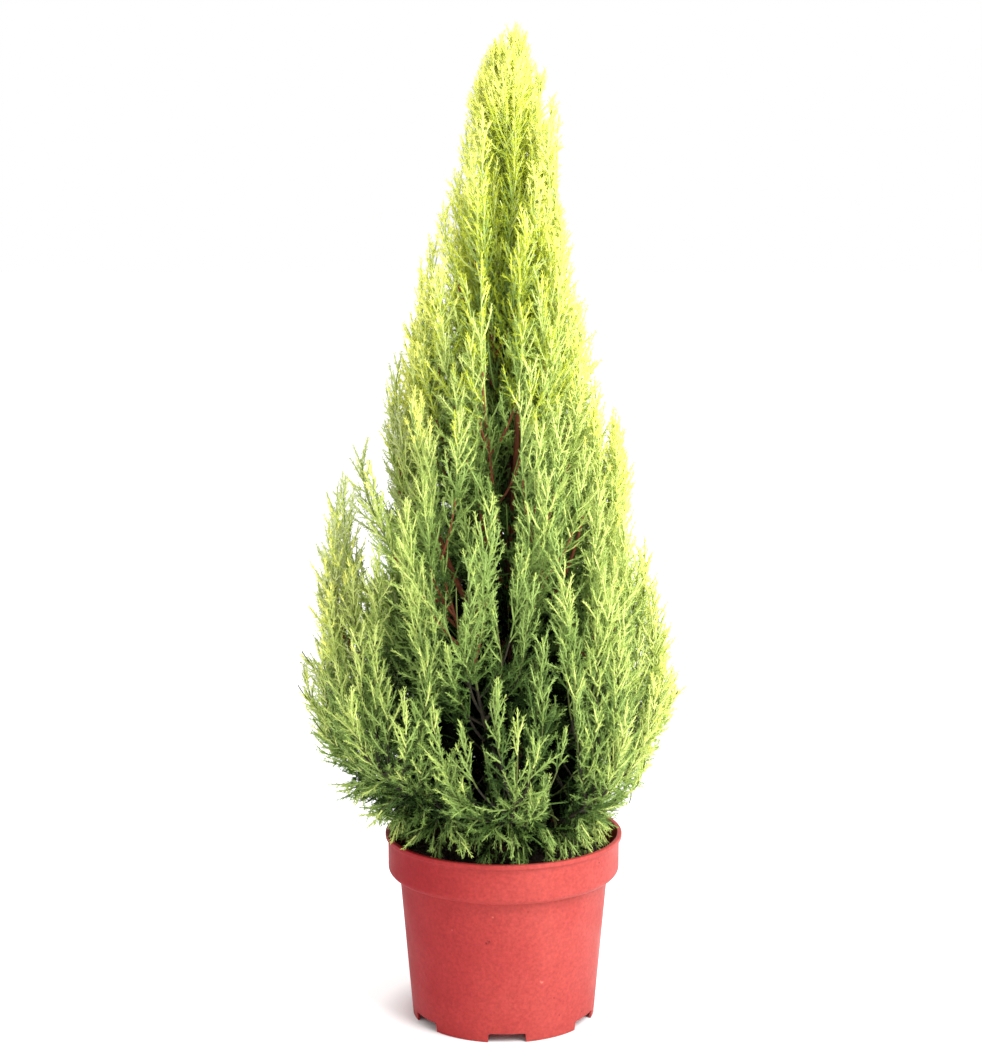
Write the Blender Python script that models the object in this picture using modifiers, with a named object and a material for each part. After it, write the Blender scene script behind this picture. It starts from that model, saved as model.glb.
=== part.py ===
"""Lemon cypress in its terracotta-coloured nursery pot, at its real size.

Metres, +Z up. The origin is the middle of the pot's flat underside, and -Y is the front.
The pot holds the soil, the trunk stands on the soil, the boughs leave the trunk in tiers, and
each bough carries one plume of scale-leaved sprays. Each plume keeps to the space that is
nearer to its own line than to any other limb.
"""

import math
import random

import bmesh
import bpy
import numpy as np
from mathutils import Vector

# Pot, a five-litre nursery pot
RIM_RADIUS = 0.110
POT_HEIGHT = 0.175
LIP_HEIGHT = 0.0042
COLLAR_RADIUS = 0.1074
COLLAR_FOOT = 0.1365
COLLAR_ROUND = 0.0065
SHOULDER_RADIUS = 0.0968
BASE_RADIUS = 0.0850
WALL = 0.0018
CHANNEL_HEIGHT = 0.0100
PAD_RADIUS = 0.0520
POT_STEPS = 32

# Drainage notches through the foot of the wall
NOTCH_COUNT = 6
NOTCH_WIDTH = 0.0350
NOTCH_HEIGHT = 0.0082
NOTCH_CORNER = 0.0030
NOTCH_BEARING = 272.0

# Soil
GAP = 0.0003
SOIL_MIDDLE = 0.1560
SOIL_EDGE = 0.1500
SOIL_FLAT_RADIUS = 0.0240
SOIL_STEPS = 16

# Trunk: height above the soil where it ends under the leader, and its thickness
TRUNK_FOOT = SOIL_MIDDLE + GAP
TRUNK_TOP = 0.6350
TRUNK_RADIUS = 0.0088
TRUNK_TIP_RADIUS = 0.0020
FLARE_RADIUS = 0.0150
FLARE_HEIGHT = 0.0160
TRUNK_LEAN = 0.0080
TRUNK_RINGS = 13
TRUNK_SIDES = 16

# Crown outline: height, reach to the left and reach to the right of the pot's axis
CROWN_OUTLINE = (
    (0.175, 0.112, 0.108),
    (0.232, 0.158, 0.136),
    (0.318, 0.183, 0.157),
    (0.374, 0.172, 0.152),
    (0.430, 0.168, 0.132),
    (0.520, 0.150, 0.108),
    (0.550, 0.106, 0.104),
    (0.600, 0.100, 0.082),
    (0.680, 0.077, 0.068),
    (0.760, 0.049, 0.044),
    (0.825, 0.033, 0.048),
    (0.860, 0.024, 0.037),
    (0.890, 0.014, 0.018),
    (0.908, 0.004, 0.012),
)

# Tiers of limbs, from the pot up: name, limbs, bearing of the first, height on the trunk,
# height of the plume's tip, length of bare bough, and half width of the plume
TIERS = (
    ("skirt", 8, 2.0, 0.178, 0.312, 0.034, 0.056),
    ("lower", 6, 12.0, 0.225, 0.440, 0.036, 0.060),
    ("middle", 6, -14.0, 0.300, 0.555, 0.030, 0.054),
    ("upper", 5, 40.0, 0.420, 0.700, 0.022, 0.046),
    ("crown", 3, -6.0, 0.545, 0.828, 0.016, 0.038),
)
LEADER_TIP = 0.908
LEADER_HALF_WIDTH = 0.034
BEARING_JITTER = 6.0
TIP_JITTER = 0.014
FOOT_JITTER = 0.010
OUTWARD_SHARE = 0.98
RISE_SHARE = 0.33
LIMB_POINTS = 14

BOUGH_RADIUS = 0.0036
BOUGH_TIP_RADIUS = 0.0022
BOUGH_POINTS = 4
BOUGH_SIDES = 6
SEAT_GAP = 0.0004
SEAT_STEPS = 4

# Plumes
STEM_RADIUS = 0.0020
CORE_SHARE = 0.20
CORE_RINGS = 5
SPRAY_COUNT = 10
SPRAY_ANGLE = 46.0
SPRAY_TIP_ANGLE = 14.0
SPRAY_LENGTH = 1.62
SPRAY_TAPER = 0.35
SPRAY_HALF_WIDTH = 0.34
SPRAY_TWIST = 55.0
SPRAY_THICKNESS = 0.080
GOLDEN_ANGLE = 137.5
CLEARANCE = 0.0012
SEED = 11

# Where a spray doesn't fit, these sizes and turns about the plume's line are tried in order
SPRAY_SIZES = (1.0, 0.85, 0.7, 0.55, 0.45)
SPRAY_TURNS = (0.0, 35.0, -35.0, 70.0, -70.0)
LARGE_ENOUGH = 0.8

# Where sprays start and end along a plume's line, as shares of its length
FIRST_SPRAY = 0.10
LAST_SPRAY = 0.88

# A spray's outline from its root to its tip, as shares of its half width and its length
SPRAY_SIDE = ((0.85, 0.60), (0.34, 0.62), (0.62, 0.84), (0.20, 0.82))
SPRAY_MIDDLE = 0.50

COLOURS = {
    "terracotta": (0.62, 0.085, 0.075, 1.0),
    "soil": (0.035, 0.022, 0.015, 1.0),
    "bark": (0.20, 0.10, 0.06, 1.0),
    "deep_green": (0.10, 0.24, 0.06, 1.0),
    "fresh_green": (0.30, 0.46, 0.09, 1.0),
    "lemon": (0.66, 0.72, 0.10, 1.0),
}
TIER_COLOURS = ("deep_green", "fresh_green", "fresh_green", "lemon", "lemon")


def clear_scene():
    """Removes what the scene holds."""
    for obj in list(bpy.data.objects):
        bpy.data.objects.remove(obj, do_unlink=True)


def new_collection(name):
    """A collection linked to the scene."""
    group = bpy.data.collections.new(name)
    bpy.context.scene.collection.children.link(group)
    return group


def make_materials():
    """One plain material for each colour."""
    made = {}
    for name, colour in COLOURS.items():
        material = bpy.data.materials.new(name)
        material.use_nodes = True
        shader = material.node_tree.nodes["Principled BSDF"]
        shader.inputs["Base Color"].default_value = colour
        shader.inputs["Roughness"].default_value = 0.45 if name == "terracotta" else 0.8
        shader.inputs["Metallic"].default_value = 0.0
        made[name] = material
    return made


def add_object(name, data, group, material):
    """An object of this data in a collection, with one material."""
    obj = bpy.data.objects.new(name, data)
    group.objects.link(obj)
    if material:
        data.materials.append(material)
    return obj


def turned(name, profile, steps, group, material):
    """A profile of (radius, height) points turned about the Z axis with a Screw modifier."""
    mesh = bpy.data.meshes.new(name)
    points = [(radius, 0.0, height) for radius, height in profile]
    mesh.from_pydata(points, [(i, i + 1) for i in range(len(points) - 1)], [])
    obj = add_object(name, mesh, group, material)
    screw = obj.modifiers.new("turn", "SCREW")
    screw.steps = steps
    screw.render_steps = steps
    screw.use_merge_vertices = True
    screw.merge_threshold = 0.00001
    screw.use_smooth_shade = True
    return obj


def inner_wall(gap):
    """(radius, height) points up the inside of the pot, moved inwards and upwards by a gap."""
    foot = CHANNEL_HEIGHT + WALL
    lean = (SHOULDER_RADIUS - BASE_RADIUS) / COLLAR_FOOT
    foot_radius = BASE_RADIUS + lean * foot - WALL
    return [
        (0.0, WALL + gap),
        (PAD_RADIUS - 2 * WALL - gap, WALL + gap),
        (PAD_RADIUS + WALL - gap, foot + gap),
        (foot_radius - gap, foot + gap),
        (SHOULDER_RADIUS - WALL - gap, COLLAR_FOOT - WALL),
        (COLLAR_RADIUS - WALL - gap, COLLAR_FOOT + COLLAR_ROUND),
    ]


def make_pot(group, cutters, material):
    """The pot's shell: lip, collar, tapered body, foot ring, and a pad under its middle."""
    edge = 0.001
    outside = [
        (COLLAR_RADIUS - WALL, POT_HEIGHT - edge),
        (COLLAR_RADIUS - WALL + edge, POT_HEIGHT),
        (RIM_RADIUS - edge, POT_HEIGHT),
        (RIM_RADIUS, POT_HEIGHT - edge),
        (RIM_RADIUS, POT_HEIGHT - LIP_HEIGHT + edge),
        (COLLAR_RADIUS, POT_HEIGHT - LIP_HEIGHT),
        (COLLAR_RADIUS, COLLAR_FOOT + COLLAR_ROUND),
        (COLLAR_RADIUS - 0.3 * COLLAR_ROUND, COLLAR_FOOT + 0.3 * COLLAR_ROUND),
        (COLLAR_RADIUS - COLLAR_ROUND, COLLAR_FOOT),
        (SHOULDER_RADIUS, COLLAR_FOOT - edge),
        (BASE_RADIUS, 0.0),
        (BASE_RADIUS - WALL, 0.0),
        (BASE_RADIUS - WALL, CHANNEL_HEIGHT),
        (PAD_RADIUS + 2 * WALL, CHANNEL_HEIGHT),
        (PAD_RADIUS, 0.0),
        (0.0, 0.0),
    ]
    pot = turned("pot", inner_wall(0.0) + outside, POT_STEPS, group, material)
    notches = pot.modifiers.new("drainage notches", "BOOLEAN")
    notches.operation = "DIFFERENCE"
    notches.operand_type = "COLLECTION"
    notches.collection = cutters
    return pot


def make_notch_cutters(cutters):
    """A block with two rounded upper corners for each notch in the foot of the pot."""
    for index in range(NOTCH_COUNT):
        bearing = math.radians(NOTCH_BEARING + index * 360.0 / NOTCH_COUNT)
        mesh = bpy.data.meshes.new(f"notch_{index + 1}")
        shape = bmesh.new()
        bmesh.ops.create_cube(shape, size=1.0)
        depth = 8 * WALL
        bmesh.ops.scale(shape, vec=(depth, NOTCH_WIDTH, 2 * NOTCH_HEIGHT), verts=shape.verts)
        upper = [
            edge
            for edge in shape.edges
            if all(vert.co.z > 0 for vert in edge.verts)
            and edge.verts[0].co.y * edge.verts[1].co.y > 0
        ]
        bmesh.ops.bevel(
            shape, geom=upper, offset=NOTCH_CORNER, segments=3, profile=0.5, affect="EDGES"
        )
        bmesh.ops.recalc_face_normals(shape, faces=shape.faces)
        shape.to_mesh(mesh)
        shape.free()
        cutter = add_object(mesh.name, mesh, cutters, None)
        cutter.location = (
            (BASE_RADIUS - WALL) * math.cos(bearing),
            (BASE_RADIUS - WALL) * math.sin(bearing),
            0.0,
        )
        cutter.rotation_euler = (0.0, 0.0, bearing)
        cutter.hide_render = True
        cutter.display_type = "WIRE"


def make_soil(group, material):
    """The potting mix: it fills the pot to two centimetres under the rim, flat in the middle."""
    profile = inner_wall(GAP)
    top = [
        (profile[-1][0], SOIL_EDGE),
        (SOIL_FLAT_RADIUS, SOIL_MIDDLE),
        (0.0, SOIL_MIDDLE),
    ]
    points = list(reversed(top)) + list(reversed(profile))
    return turned("soil", points, SOIL_STEPS, group, material)


def sway(height):
    """The stem's middle at a height: it sways once and leans slightly to the right."""
    share = (height - TRUNK_FOOT) / (LEADER_TIP - TRUNK_FOOT)
    return np.array(
        (
            TRUNK_LEAN * share + 0.004 * math.sin(2 * math.pi * share),
            0.003 * math.sin(math.pi * share),
            height,
        )
    )


def trunk_rings():
    """Each ring's height, middle and radius: an even taper, and a flare above the soil."""
    shares = [(ring / TRUNK_RINGS) ** 1.6 for ring in range(TRUNK_RINGS + 1)]
    heights = np.array([TRUNK_FOOT + (TRUNK_TOP - TRUNK_FOOT) * share for share in shares])
    middles = np.array([sway(height) for height in heights])
    middles[1][:2] = middles[0][:2]
    taper = TRUNK_RADIUS + (TRUNK_TIP_RADIUS - TRUNK_RADIUS) * np.array(shares)
    flare = (FLARE_RADIUS - TRUNK_RADIUS) * np.exp(-(heights - TRUNK_FOOT) / FLARE_HEIGHT)
    return heights, middles, taper + flare


def trunk_middle(height):
    """The middle of the trunk as built, between its rings."""
    heights, middles, _ = trunk_rings()
    return np.array([np.interp(height, heights, middles[:, axis]) for axis in range(3)])


def trunk_radius(height):
    """The radius of the trunk as built, between its rings."""
    heights, _, radii = trunk_rings()
    return np.interp(height, heights, radii)


def mean_radius(radius, sides):
    """The radius half way between the corners and the flats of a many-sided rod."""
    return radius * (1 + math.cos(math.pi / sides)) / 2


def tube(name, points, radii, group, material, sides):
    """A curve through points with its own radius at each, an even count of sides, closed ends."""
    curve = bpy.data.curves.new(name, "CURVE")
    curve.dimensions = "3D"
    curve.bevel_depth = 1.0
    curve.bevel_resolution = sides // 2 - 2
    curve.use_fill_caps = True
    spline = curve.splines.new("POLY")
    spline.points.add(len(points) - 1)
    for place, point, radius in zip(spline.points, points, radii):
        place.co = (*point, 1.0)
        place.radius = radius
    return add_object(name, curve, group, material)


def make_trunk(group, material):
    """The trunk, from its flat cut on the soil to the leader's foot."""
    _, middles, radii = trunk_rings()
    return tube("trunk", middles, radii, group, material, TRUNK_SIDES)


def crown_reach(height, bearing):
    """How far the crown reaches from the pot's axis, blended round from left to right."""
    heights, left, right = zip(*CROWN_OUTLINE)
    to_left = np.interp(height, heights, left)
    to_right = np.interp(height, heights, right)
    return 0.5 * (to_left + to_right) + 0.5 * (to_right - to_left) * np.cos(bearing)


def limb_line(foot_height, tip):
    """A quadratic curve that leaves the trunk outwards and bends up to the plume's tip."""
    foot = trunk_middle(foot_height)
    bend = foot + np.array((OUTWARD_SHARE, OUTWARD_SHARE, RISE_SHARE)) * (tip - foot)
    share = np.linspace(0.0, 1.0, LIMB_POINTS)[:, None]
    return (1 - share) ** 2 * foot + 2 * share * (1 - share) * bend + share**2 * tip


def along(line, distance):
    """The point that lies this far along a line of points."""
    steps = np.linalg.norm(np.diff(line, axis=0), axis=1)
    travelled = np.concatenate([[0.0], np.cumsum(steps)])
    return np.array([np.interp(distance, travelled, line[:, axis]) for axis in range(3)])


def line_length(line):
    """The length of a line of points."""
    return float(np.linalg.norm(np.diff(line, axis=0), axis=1).sum())


def seat_distance(line, height):
    """How far along a limb's line its bough starts, so that its end clears the trunk."""
    lift = (line[1] - line[0]) / np.linalg.norm(line[1] - line[0])
    level = math.hypot(lift[0], lift[1])
    end = mean_radius(BOUGH_RADIUS, BOUGH_SIDES)
    distance = 0.0
    for _ in range(SEAT_STEPS):
        upper_edge = height + distance * lift[2] + end * level
        trunk = mean_radius(trunk_radius(upper_edge), TRUNK_SIDES)
        distance = (trunk + SEAT_GAP + end * lift[2]) / level
    return distance


def plan_limbs():
    """Each limb's name, tier, half width, bough line and plume line, by a seeded rule."""
    chance = random.Random(SEED)
    limbs = []
    for tier, (name, count, first, foot, tip_height, bare, half_width) in enumerate(TIERS):
        for index in range(count):
            turn = first + index * 360.0 / count
            bearing = math.radians(turn + chance.uniform(-BEARING_JITTER, BEARING_JITTER))
            height = tip_height + chance.uniform(-TIP_JITTER, TIP_JITTER)
            reach = crown_reach(height, bearing)
            tip = np.array((reach * math.cos(bearing), reach * math.sin(bearing), height))
            start = foot + chance.uniform(-FOOT_JITTER, FOOT_JITTER)
            line = limb_line(start, tip)
            off = seat_distance(line, start)
            bough = [along(line, off + bare * k / BOUGH_POINTS) for k in range(BOUGH_POINTS + 1)]
            plume = plume_line(line, off + bare + GAP)
            limbs.append((f"{name}_{index + 1}", tier, half_width, np.array(bough), plume))
    return limbs


def plume_line(line, start):
    """The stretch of a limb's line that its plume grows on."""
    distances = np.linspace(start, line_length(line), LIMB_POINTS)
    return np.array([along(line, distance) for distance in distances])


def leader_line():
    """The line of the leader, which goes on from the trunk's tip."""
    heights = np.linspace(TRUNK_TOP + GAP, LEADER_TIP, LIMB_POINTS)
    return np.array([sway(height) for height in heights])


def distance_to(points, line):
    """The distance from each point to the nearest place on a line."""
    points = np.atleast_2d(points)[:, None, :]
    starts = line[:-1][None]
    ways = (line[1:] - line[:-1])[None]
    share = ((points - starts) * ways).sum(-1) / (ways**2).sum(-1)
    nearest = starts + np.clip(share, 0.0, 1.0)[..., None] * ways
    return np.linalg.norm(points - nearest, axis=-1).min(1)


def profile_width(share):
    """The plume's width at a share of its length: quick to widen, slow to taper."""
    return np.sin(np.pi * np.clip(share, 0.0, 1.0) ** 0.72) ** 0.8


class Space:
    """The room that one plume may fill."""

    def __init__(self, own, others, boughs, trunk_line):
        self.own = own
        self.others = others
        self.boughs = boughs
        self.trunk_line = trunk_line

    def room(self, points):
        """How far each point is inside the plume's space; negative outside it."""
        points = np.atleast_2d(points)
        near = distance_to(points, self.own)
        rest = np.min([distance_to(points, line) for line in self.others], axis=0)
        limbs = np.min([distance_to(points, line) for line in self.boughs], axis=0)
        trunk = distance_to(points, self.trunk_line)
        radius = np.hypot(points[:, 0], points[:, 1])
        bearing = np.arctan2(points[:, 1], points[:, 0])
        width = trunk_radius(points[:, 2])
        outline = crown_reach(points[:, 2], bearing) - radius
        above_pot = points[:, 2] - POT_HEIGHT
        above_soil = points[:, 2] - SOIL_MIDDLE
        inside_rim = COLLAR_RADIUS - WALL - radius
        over = np.maximum(above_pot, np.minimum(above_soil, inside_rim))
        return np.min(
            [
                rest - near - CLEARANCE,
                limbs - BOUGH_RADIUS - CLEARANCE,
                trunk - width - CLEARANCE,
                outline + CLEARANCE,
                over - CLEARANCE,
            ],
            axis=0,
        )


def core_points(line, half_width, space):
    """Rings of a plume's core: a slim stem, then a spindle that keeps to the plume's space."""
    total = line_length(line)
    shares = [0.0, 0.06] + [0.12 + 0.86 * k / CORE_RINGS for k in range(CORE_RINGS + 1)]
    points = np.array([along(line, share * total) for share in shares])
    rest = np.min([distance_to(points, other) for other in space.others], axis=0)
    limbs = np.min([distance_to(points, other) for other in space.boughs], axis=0)
    wanted = CORE_SHARE * half_width * profile_width(np.array(shares))
    allowed = np.minimum(rest / 2 - CLEARANCE, limbs - BOUGH_RADIUS - CLEARANCE)
    radii = np.maximum(np.minimum(wanted, allowed), STEM_RADIUS)
    radii[:2] = STEM_RADIUS
    radii[-1] = 0.0008
    return points, radii


def spray_points(root, growth, across, length):
    """A spray's points: its outline round from root to tip and back, and a rib on each face."""
    normal = np.cross(growth, across)
    half_width = SPRAY_HALF_WIDTH * length
    one_side = [
        root + growth * forward * length + across * side * half_width
        for side, forward in SPRAY_SIDE
    ]
    other_side = [
        root + growth * forward * length - across * side * half_width
        for side, forward in reversed(SPRAY_SIDE)
    ]
    middle = root + growth * SPRAY_MIDDLE * length
    swell = normal * SPRAY_THICKNESS * length / 2
    rim = [root] + one_side + [root + growth * length] + other_side
    return np.array(rim + [middle + swell, middle - swell])


def add_spray(name, points, group):
    """A closed toothed blade: two fans from the ribs to the outline."""
    mesh = bpy.data.meshes.new(name)
    count = len(points) - 2
    faces = []
    for k in range(count):
        after = (k + 1) % count
        faces.append((k, after, count))
        faces.append((after, k, count + 1))
    mesh.from_pydata([tuple(point) for point in points], [], faces)
    shape = bmesh.new()
    shape.from_mesh(mesh)
    bmesh.ops.recalc_face_normals(shape, faces=shape.faces)
    shape.to_mesh(mesh)
    shape.free()
    return add_object(name, mesh, group, None)


def check_points(points):
    """A spray's points and the middles of its teeth, for testing against the plume's space."""
    rim = points[:-2]
    middles = (rim + np.roll(rim, -1, axis=0)) / 2
    ribs = (rim + points[-2]) / 2
    return np.vstack([points[1:], middles[1:-1], ribs[1:]])


def direction_at(line, share):
    """The way a line runs at a share of its length."""
    total = line_length(line)
    step = 0.05
    way = along(line, min(1.0, share + step) * total) - along(line, (share - step) * total)
    return way / np.linalg.norm(way)


def spray_at(line, share, turn, tilt, length):
    """The points of a spray that leaves a line at a share of its length, turned about it."""
    forward = direction_at(line, share)
    first = np.array(Vector(forward).orthogonal().normalized())
    second = np.cross(forward, first)
    outward = first * math.cos(turn) + second * math.sin(turn)
    opening = math.radians(SPRAY_ANGLE + (SPRAY_TIP_ANGLE - SPRAY_ANGLE) * share**2)
    growth = forward * math.cos(opening) + outward * math.sin(opening)
    flat = np.cross(forward, outward)
    across = np.cross(growth, flat) * math.cos(tilt) + flat * math.sin(tilt)
    return spray_points(along(line, share * line_length(line)), growth, across, length)


def largest_fit(line, share, turn, tilt, full, space):
    """The largest size of a spray that keeps to the plume's space, and its points."""
    for size in SPRAY_SIZES:
        points = spray_at(line, share, turn, tilt, full * size)
        if space.room(check_points(points)).min() > 0:
            return size, points
    return 0.0, None


def place_sprays(line, half_width, space, chance):
    """Points of each spray that fits: they stand out round the plume's line, a golden angle on."""
    placed = []
    turn = chance.uniform(0.0, 360.0)
    for share in np.linspace(FIRST_SPRAY, LAST_SPRAY, SPRAY_COUNT):
        turn += GOLDEN_ANGLE
        tilt = math.radians(chance.uniform(-SPRAY_TWIST, SPRAY_TWIST))
        full = SPRAY_LENGTH * half_width * (1.0 - SPRAY_TAPER * share)
        best_size, best_points = 0.0, None
        for extra in SPRAY_TURNS:
            size, points = largest_fit(
                line, share, math.radians(turn + extra), tilt, full, space
            )
            if size > best_size:
                best_size, best_points = size, points
            if size > LARGE_ENOUGH:
                break
        if best_points is not None:
            placed.append(best_points)
    return placed


def largest_body(mesh):
    """Keeps the largest connected shell of a mesh, so no loose scrap or sealed hollow is left."""
    shape = bmesh.new()
    shape.from_mesh(mesh)
    shape.verts.ensure_lookup_table()
    seen = set()
    shells = []
    for start in shape.verts:
        if start in seen:
            continue
        shell = {start}
        edge_of_search = [start]
        while edge_of_search:
            vert = edge_of_search.pop()
            for edge in vert.link_edges:
                other = edge.other_vert(vert)
                if other not in shell:
                    shell.add(other)
                    edge_of_search.append(other)
        seen |= shell
        shells.append(shell)
    keep = max(shells, key=len)
    bmesh.ops.delete(shape, geom=[vert for vert in shape.verts if vert not in keep])
    bmesh.ops.triangulate(shape, faces=shape.faces)
    shape.to_mesh(mesh)
    shape.free()


def as_mesh(curve_object, group, material):
    """A mesh object in place of a curve object, with its end caps welded on."""
    graph = bpy.context.evaluated_depsgraph_get()
    mesh = bpy.data.meshes.new_from_object(curve_object.evaluated_get(graph))
    shape = bmesh.new()
    shape.from_mesh(mesh)
    bmesh.ops.remove_doubles(shape, verts=shape.verts, dist=0.00001)
    bmesh.ops.recalc_face_normals(shape, faces=shape.faces)
    shape.to_mesh(mesh)
    shape.free()
    name = curve_object.name
    place = curve_object.matrix_world.copy()
    bpy.data.objects.remove(curve_object, do_unlink=True)
    mesh.materials.clear()
    obj = add_object(name, mesh, group, material)
    obj.matrix_world = place
    return obj


def make_plume(name, line, half_width, space, group, material, chance):
    """One plume: its core with the sprays joined on in one Boolean union."""
    points, radii = core_points(line, half_width, space)
    plume = as_mesh(tube(name, points, radii, group, None, BOUGH_SIDES), group, material)
    sprays = new_collection(f"{name}_sprays")
    for index, outline in enumerate(place_sprays(line, half_width, space, chance)):
        add_spray(f"{name}_spray_{index}", outline, sprays)
    union = plume.modifiers.new("join sprays", "BOOLEAN")
    union.operation = "UNION"
    union.operand_type = "COLLECTION"
    union.collection = sprays
    graph = bpy.context.evaluated_depsgraph_get()
    joined = bpy.data.meshes.new_from_object(plume.evaluated_get(graph))
    plume.modifiers.clear()
    plume.data = joined
    largest_body(joined)
    for spray in list(sprays.objects):
        bpy.data.objects.remove(spray, do_unlink=True)
    bpy.data.collections.remove(sprays)
    return plume


def make_limbs(group, materials):
    """The boughs and plumes of every tier, and the leader on the trunk's tip."""
    limbs = plan_limbs()
    leader = leader_line()
    _, trunk_line, _ = trunk_rings()
    boughs = [bough for _, _, _, bough, _ in limbs]
    lines = [plume for *_, plume in limbs] + [leader]
    for index, (name, tier, half_width, bough, plume) in enumerate(limbs):
        taper = np.linspace(BOUGH_RADIUS, BOUGH_TIP_RADIUS, len(bough))
        tube(f"bough_{name}", bough, taper, group, materials["bark"], BOUGH_SIDES)
        space = Space(plume, lines[:index] + lines[index + 1 :], boughs, trunk_line)
        colour = materials[TIER_COLOURS[tier]]
        chance = random.Random(SEED * 100 + index)
        make_plume(f"plume_{name}", plume, half_width, space, group, colour, chance)
    space = Space(leader, lines[:-1], boughs, trunk_line)
    chance = random.Random(SEED * 100 + len(limbs))
    make_plume(
        "plume_leader", leader, LEADER_HALF_WIDTH, space, group, materials["lemon"], chance
    )


def main():
    """Builds the plant in its pot."""
    clear_scene()
    plant = new_collection("lemon_cypress")
    cutters = new_collection("cutters")
    materials = make_materials()
    make_notch_cutters(cutters)
    make_pot(plant, cutters, materials["terracotta"])
    make_soil(plant, materials["soil"])
    make_trunk(plant, materials["bark"])
    make_limbs(plant, materials)


main()
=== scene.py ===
# %% [markdown]
# # A lemon cypress in its nursery pot
#
# The object is a young conifer about 0.9 m high: a trunk, tiers of boughs, and on each bough a
# plume of feathery sprays, standing in a terracotta-red plastic pot. The CAD model gives the pot,
# the limbs and the room that each plume fills. This lesson dresses it: the foliage is grown as
# real twigs and leaves along the same lines, and the pot, soil and bark get their fine surface.

# %% Load the frame
import itertools
import math
import random

import bmesh
import bpy
import numpy as np
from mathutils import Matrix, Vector


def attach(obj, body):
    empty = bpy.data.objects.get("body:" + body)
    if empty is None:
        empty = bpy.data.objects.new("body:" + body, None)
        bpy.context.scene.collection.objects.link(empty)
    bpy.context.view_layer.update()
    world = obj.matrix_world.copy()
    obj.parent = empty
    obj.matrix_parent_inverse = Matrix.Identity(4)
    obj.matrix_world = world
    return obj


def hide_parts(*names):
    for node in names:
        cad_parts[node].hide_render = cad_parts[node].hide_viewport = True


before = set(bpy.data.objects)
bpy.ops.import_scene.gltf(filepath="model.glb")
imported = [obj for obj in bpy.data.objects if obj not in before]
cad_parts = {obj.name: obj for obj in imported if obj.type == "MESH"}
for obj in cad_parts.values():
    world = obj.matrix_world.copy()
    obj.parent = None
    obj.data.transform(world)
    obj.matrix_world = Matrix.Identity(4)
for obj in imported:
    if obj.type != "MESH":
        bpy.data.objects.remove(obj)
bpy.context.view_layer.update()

# %% [markdown]
# ## Sizes of the pot and the soil
#
# The pot is a common round nursery pot, 220 mm wide at the rim. Its sizes are those of the CAD
# model, so that the finer shell lies on the solid one. All lengths are in metres.

# %% Pot and soil sizes
RIM_RADIUS = 0.110
RIM_EDGE = 0.0009
POT_HEIGHT = 0.175
LIP_HEIGHT = 0.0042
COLLAR_RADIUS = 0.1074
COLLAR_FOOT = 0.1365
COLLAR_ROUND = 0.0065
SHOULDER_RADIUS = 0.0968
BASE_RADIUS = 0.0850
BASE_EDGE = 0.0005
WALL = 0.0018
WALL_LEAN = (SHOULDER_RADIUS - BASE_RADIUS) / COLLAR_FOOT
CHANNEL_HEIGHT = 0.0100
PAD_RADIUS = 0.0520
NOTCH_COUNT = 6
NOTCH_WIDTH = 0.0350
NOTCH_HEIGHT = 0.0082
NOTCH_CORNER = 0.0030
NOTCH_BEARING = 272.0
SOIL_MIDDLE = 0.1560
SOIL_EDGE = 0.1500
print("the pot is", 2 * RIM_RADIUS, "m wide and", POT_HEIGHT, "m high")

# %% [markdown]
# ## The plan of the plant
#
# The limbs follow a rule: a tier has so many of them, spread evenly round the trunk, and each is
# one curve that leaves the trunk outwards and bends up to a tip on the crown's outline. The same
# sizes and seeded draws give the same lines here as in the solids, so the twigs grow where the
# solids have their plumes.

# %% Sizes of the limbs and the crown
TRUNK_FOOT = SOIL_MIDDLE
TRUNK_TOP = 0.6350
TRUNK_RADIUS = 0.0088
TRUNK_TIP_RADIUS = 0.0020
TRUNK_LEAN = 0.0080
TRUNK_WAVE = 0.004
TRUNK_BACK = 0.003
FLARE_RADIUS = 0.0150
FLARE_HEIGHT = 0.0160
BOUGH_RADIUS = 0.0036
BOUGH_TIP_RADIUS = 0.0022
LEADER_TIP = 0.908
LEADER_HALF_WIDTH = 0.034
BEARING_JITTER = 6.0
TIP_JITTER = 0.014
FOOT_JITTER = 0.010
LIMB_BEND = (0.98, 0.98, 0.33)
SEED = 11

# Each row: a height, and how far the crown reaches to the left and to the right there.
CROWN_OUTLINE = (
    (0.175, 0.112, 0.108),
    (0.232, 0.158, 0.136),
    (0.318, 0.183, 0.157),
    (0.374, 0.172, 0.152),
    (0.430, 0.168, 0.132),
    (0.520, 0.150, 0.108),
    (0.550, 0.106, 0.104),
    (0.600, 0.100, 0.082),
    (0.680, 0.077, 0.068),
    (0.760, 0.049, 0.044),
    (0.825, 0.033, 0.048),
    (0.860, 0.024, 0.037),
    (0.890, 0.014, 0.018),
    (0.908, 0.004, 0.012),
)
# Each row: name, number of limbs, first bearing, heights of the foot and of the tip, length of
# bare bough, and half width of the plume.
TIERS = (
    ("skirt", 8, 2.0, 0.178, 0.312, 0.034, 0.056),
    ("lower", 6, 12.0, 0.225, 0.440, 0.036, 0.060),
    ("middle", 6, -14.0, 0.300, 0.555, 0.030, 0.054),
    ("upper", 5, 40.0, 0.420, 0.700, 0.022, 0.046),
    ("crown", 3, -6.0, 0.545, 0.828, 0.016, 0.038),
)
print(len(TIERS), "tiers of limbs, up to", LEADER_TIP, "m")


# %% Trunk and crown
def sway(height):
    """The stem's middle: a lean to the right that grows evenly, one sideways wave, and half a
    wave to the back."""
    height = np.asarray(height, float)
    share = (height - TRUNK_FOOT) / (LEADER_TIP - TRUNK_FOOT)
    across = TRUNK_LEAN * share + TRUNK_WAVE * np.sin(2 * np.pi * share)
    back = TRUNK_BACK * np.sin(np.pi * share)
    return np.stack([across, back, height], axis=-1)


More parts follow.
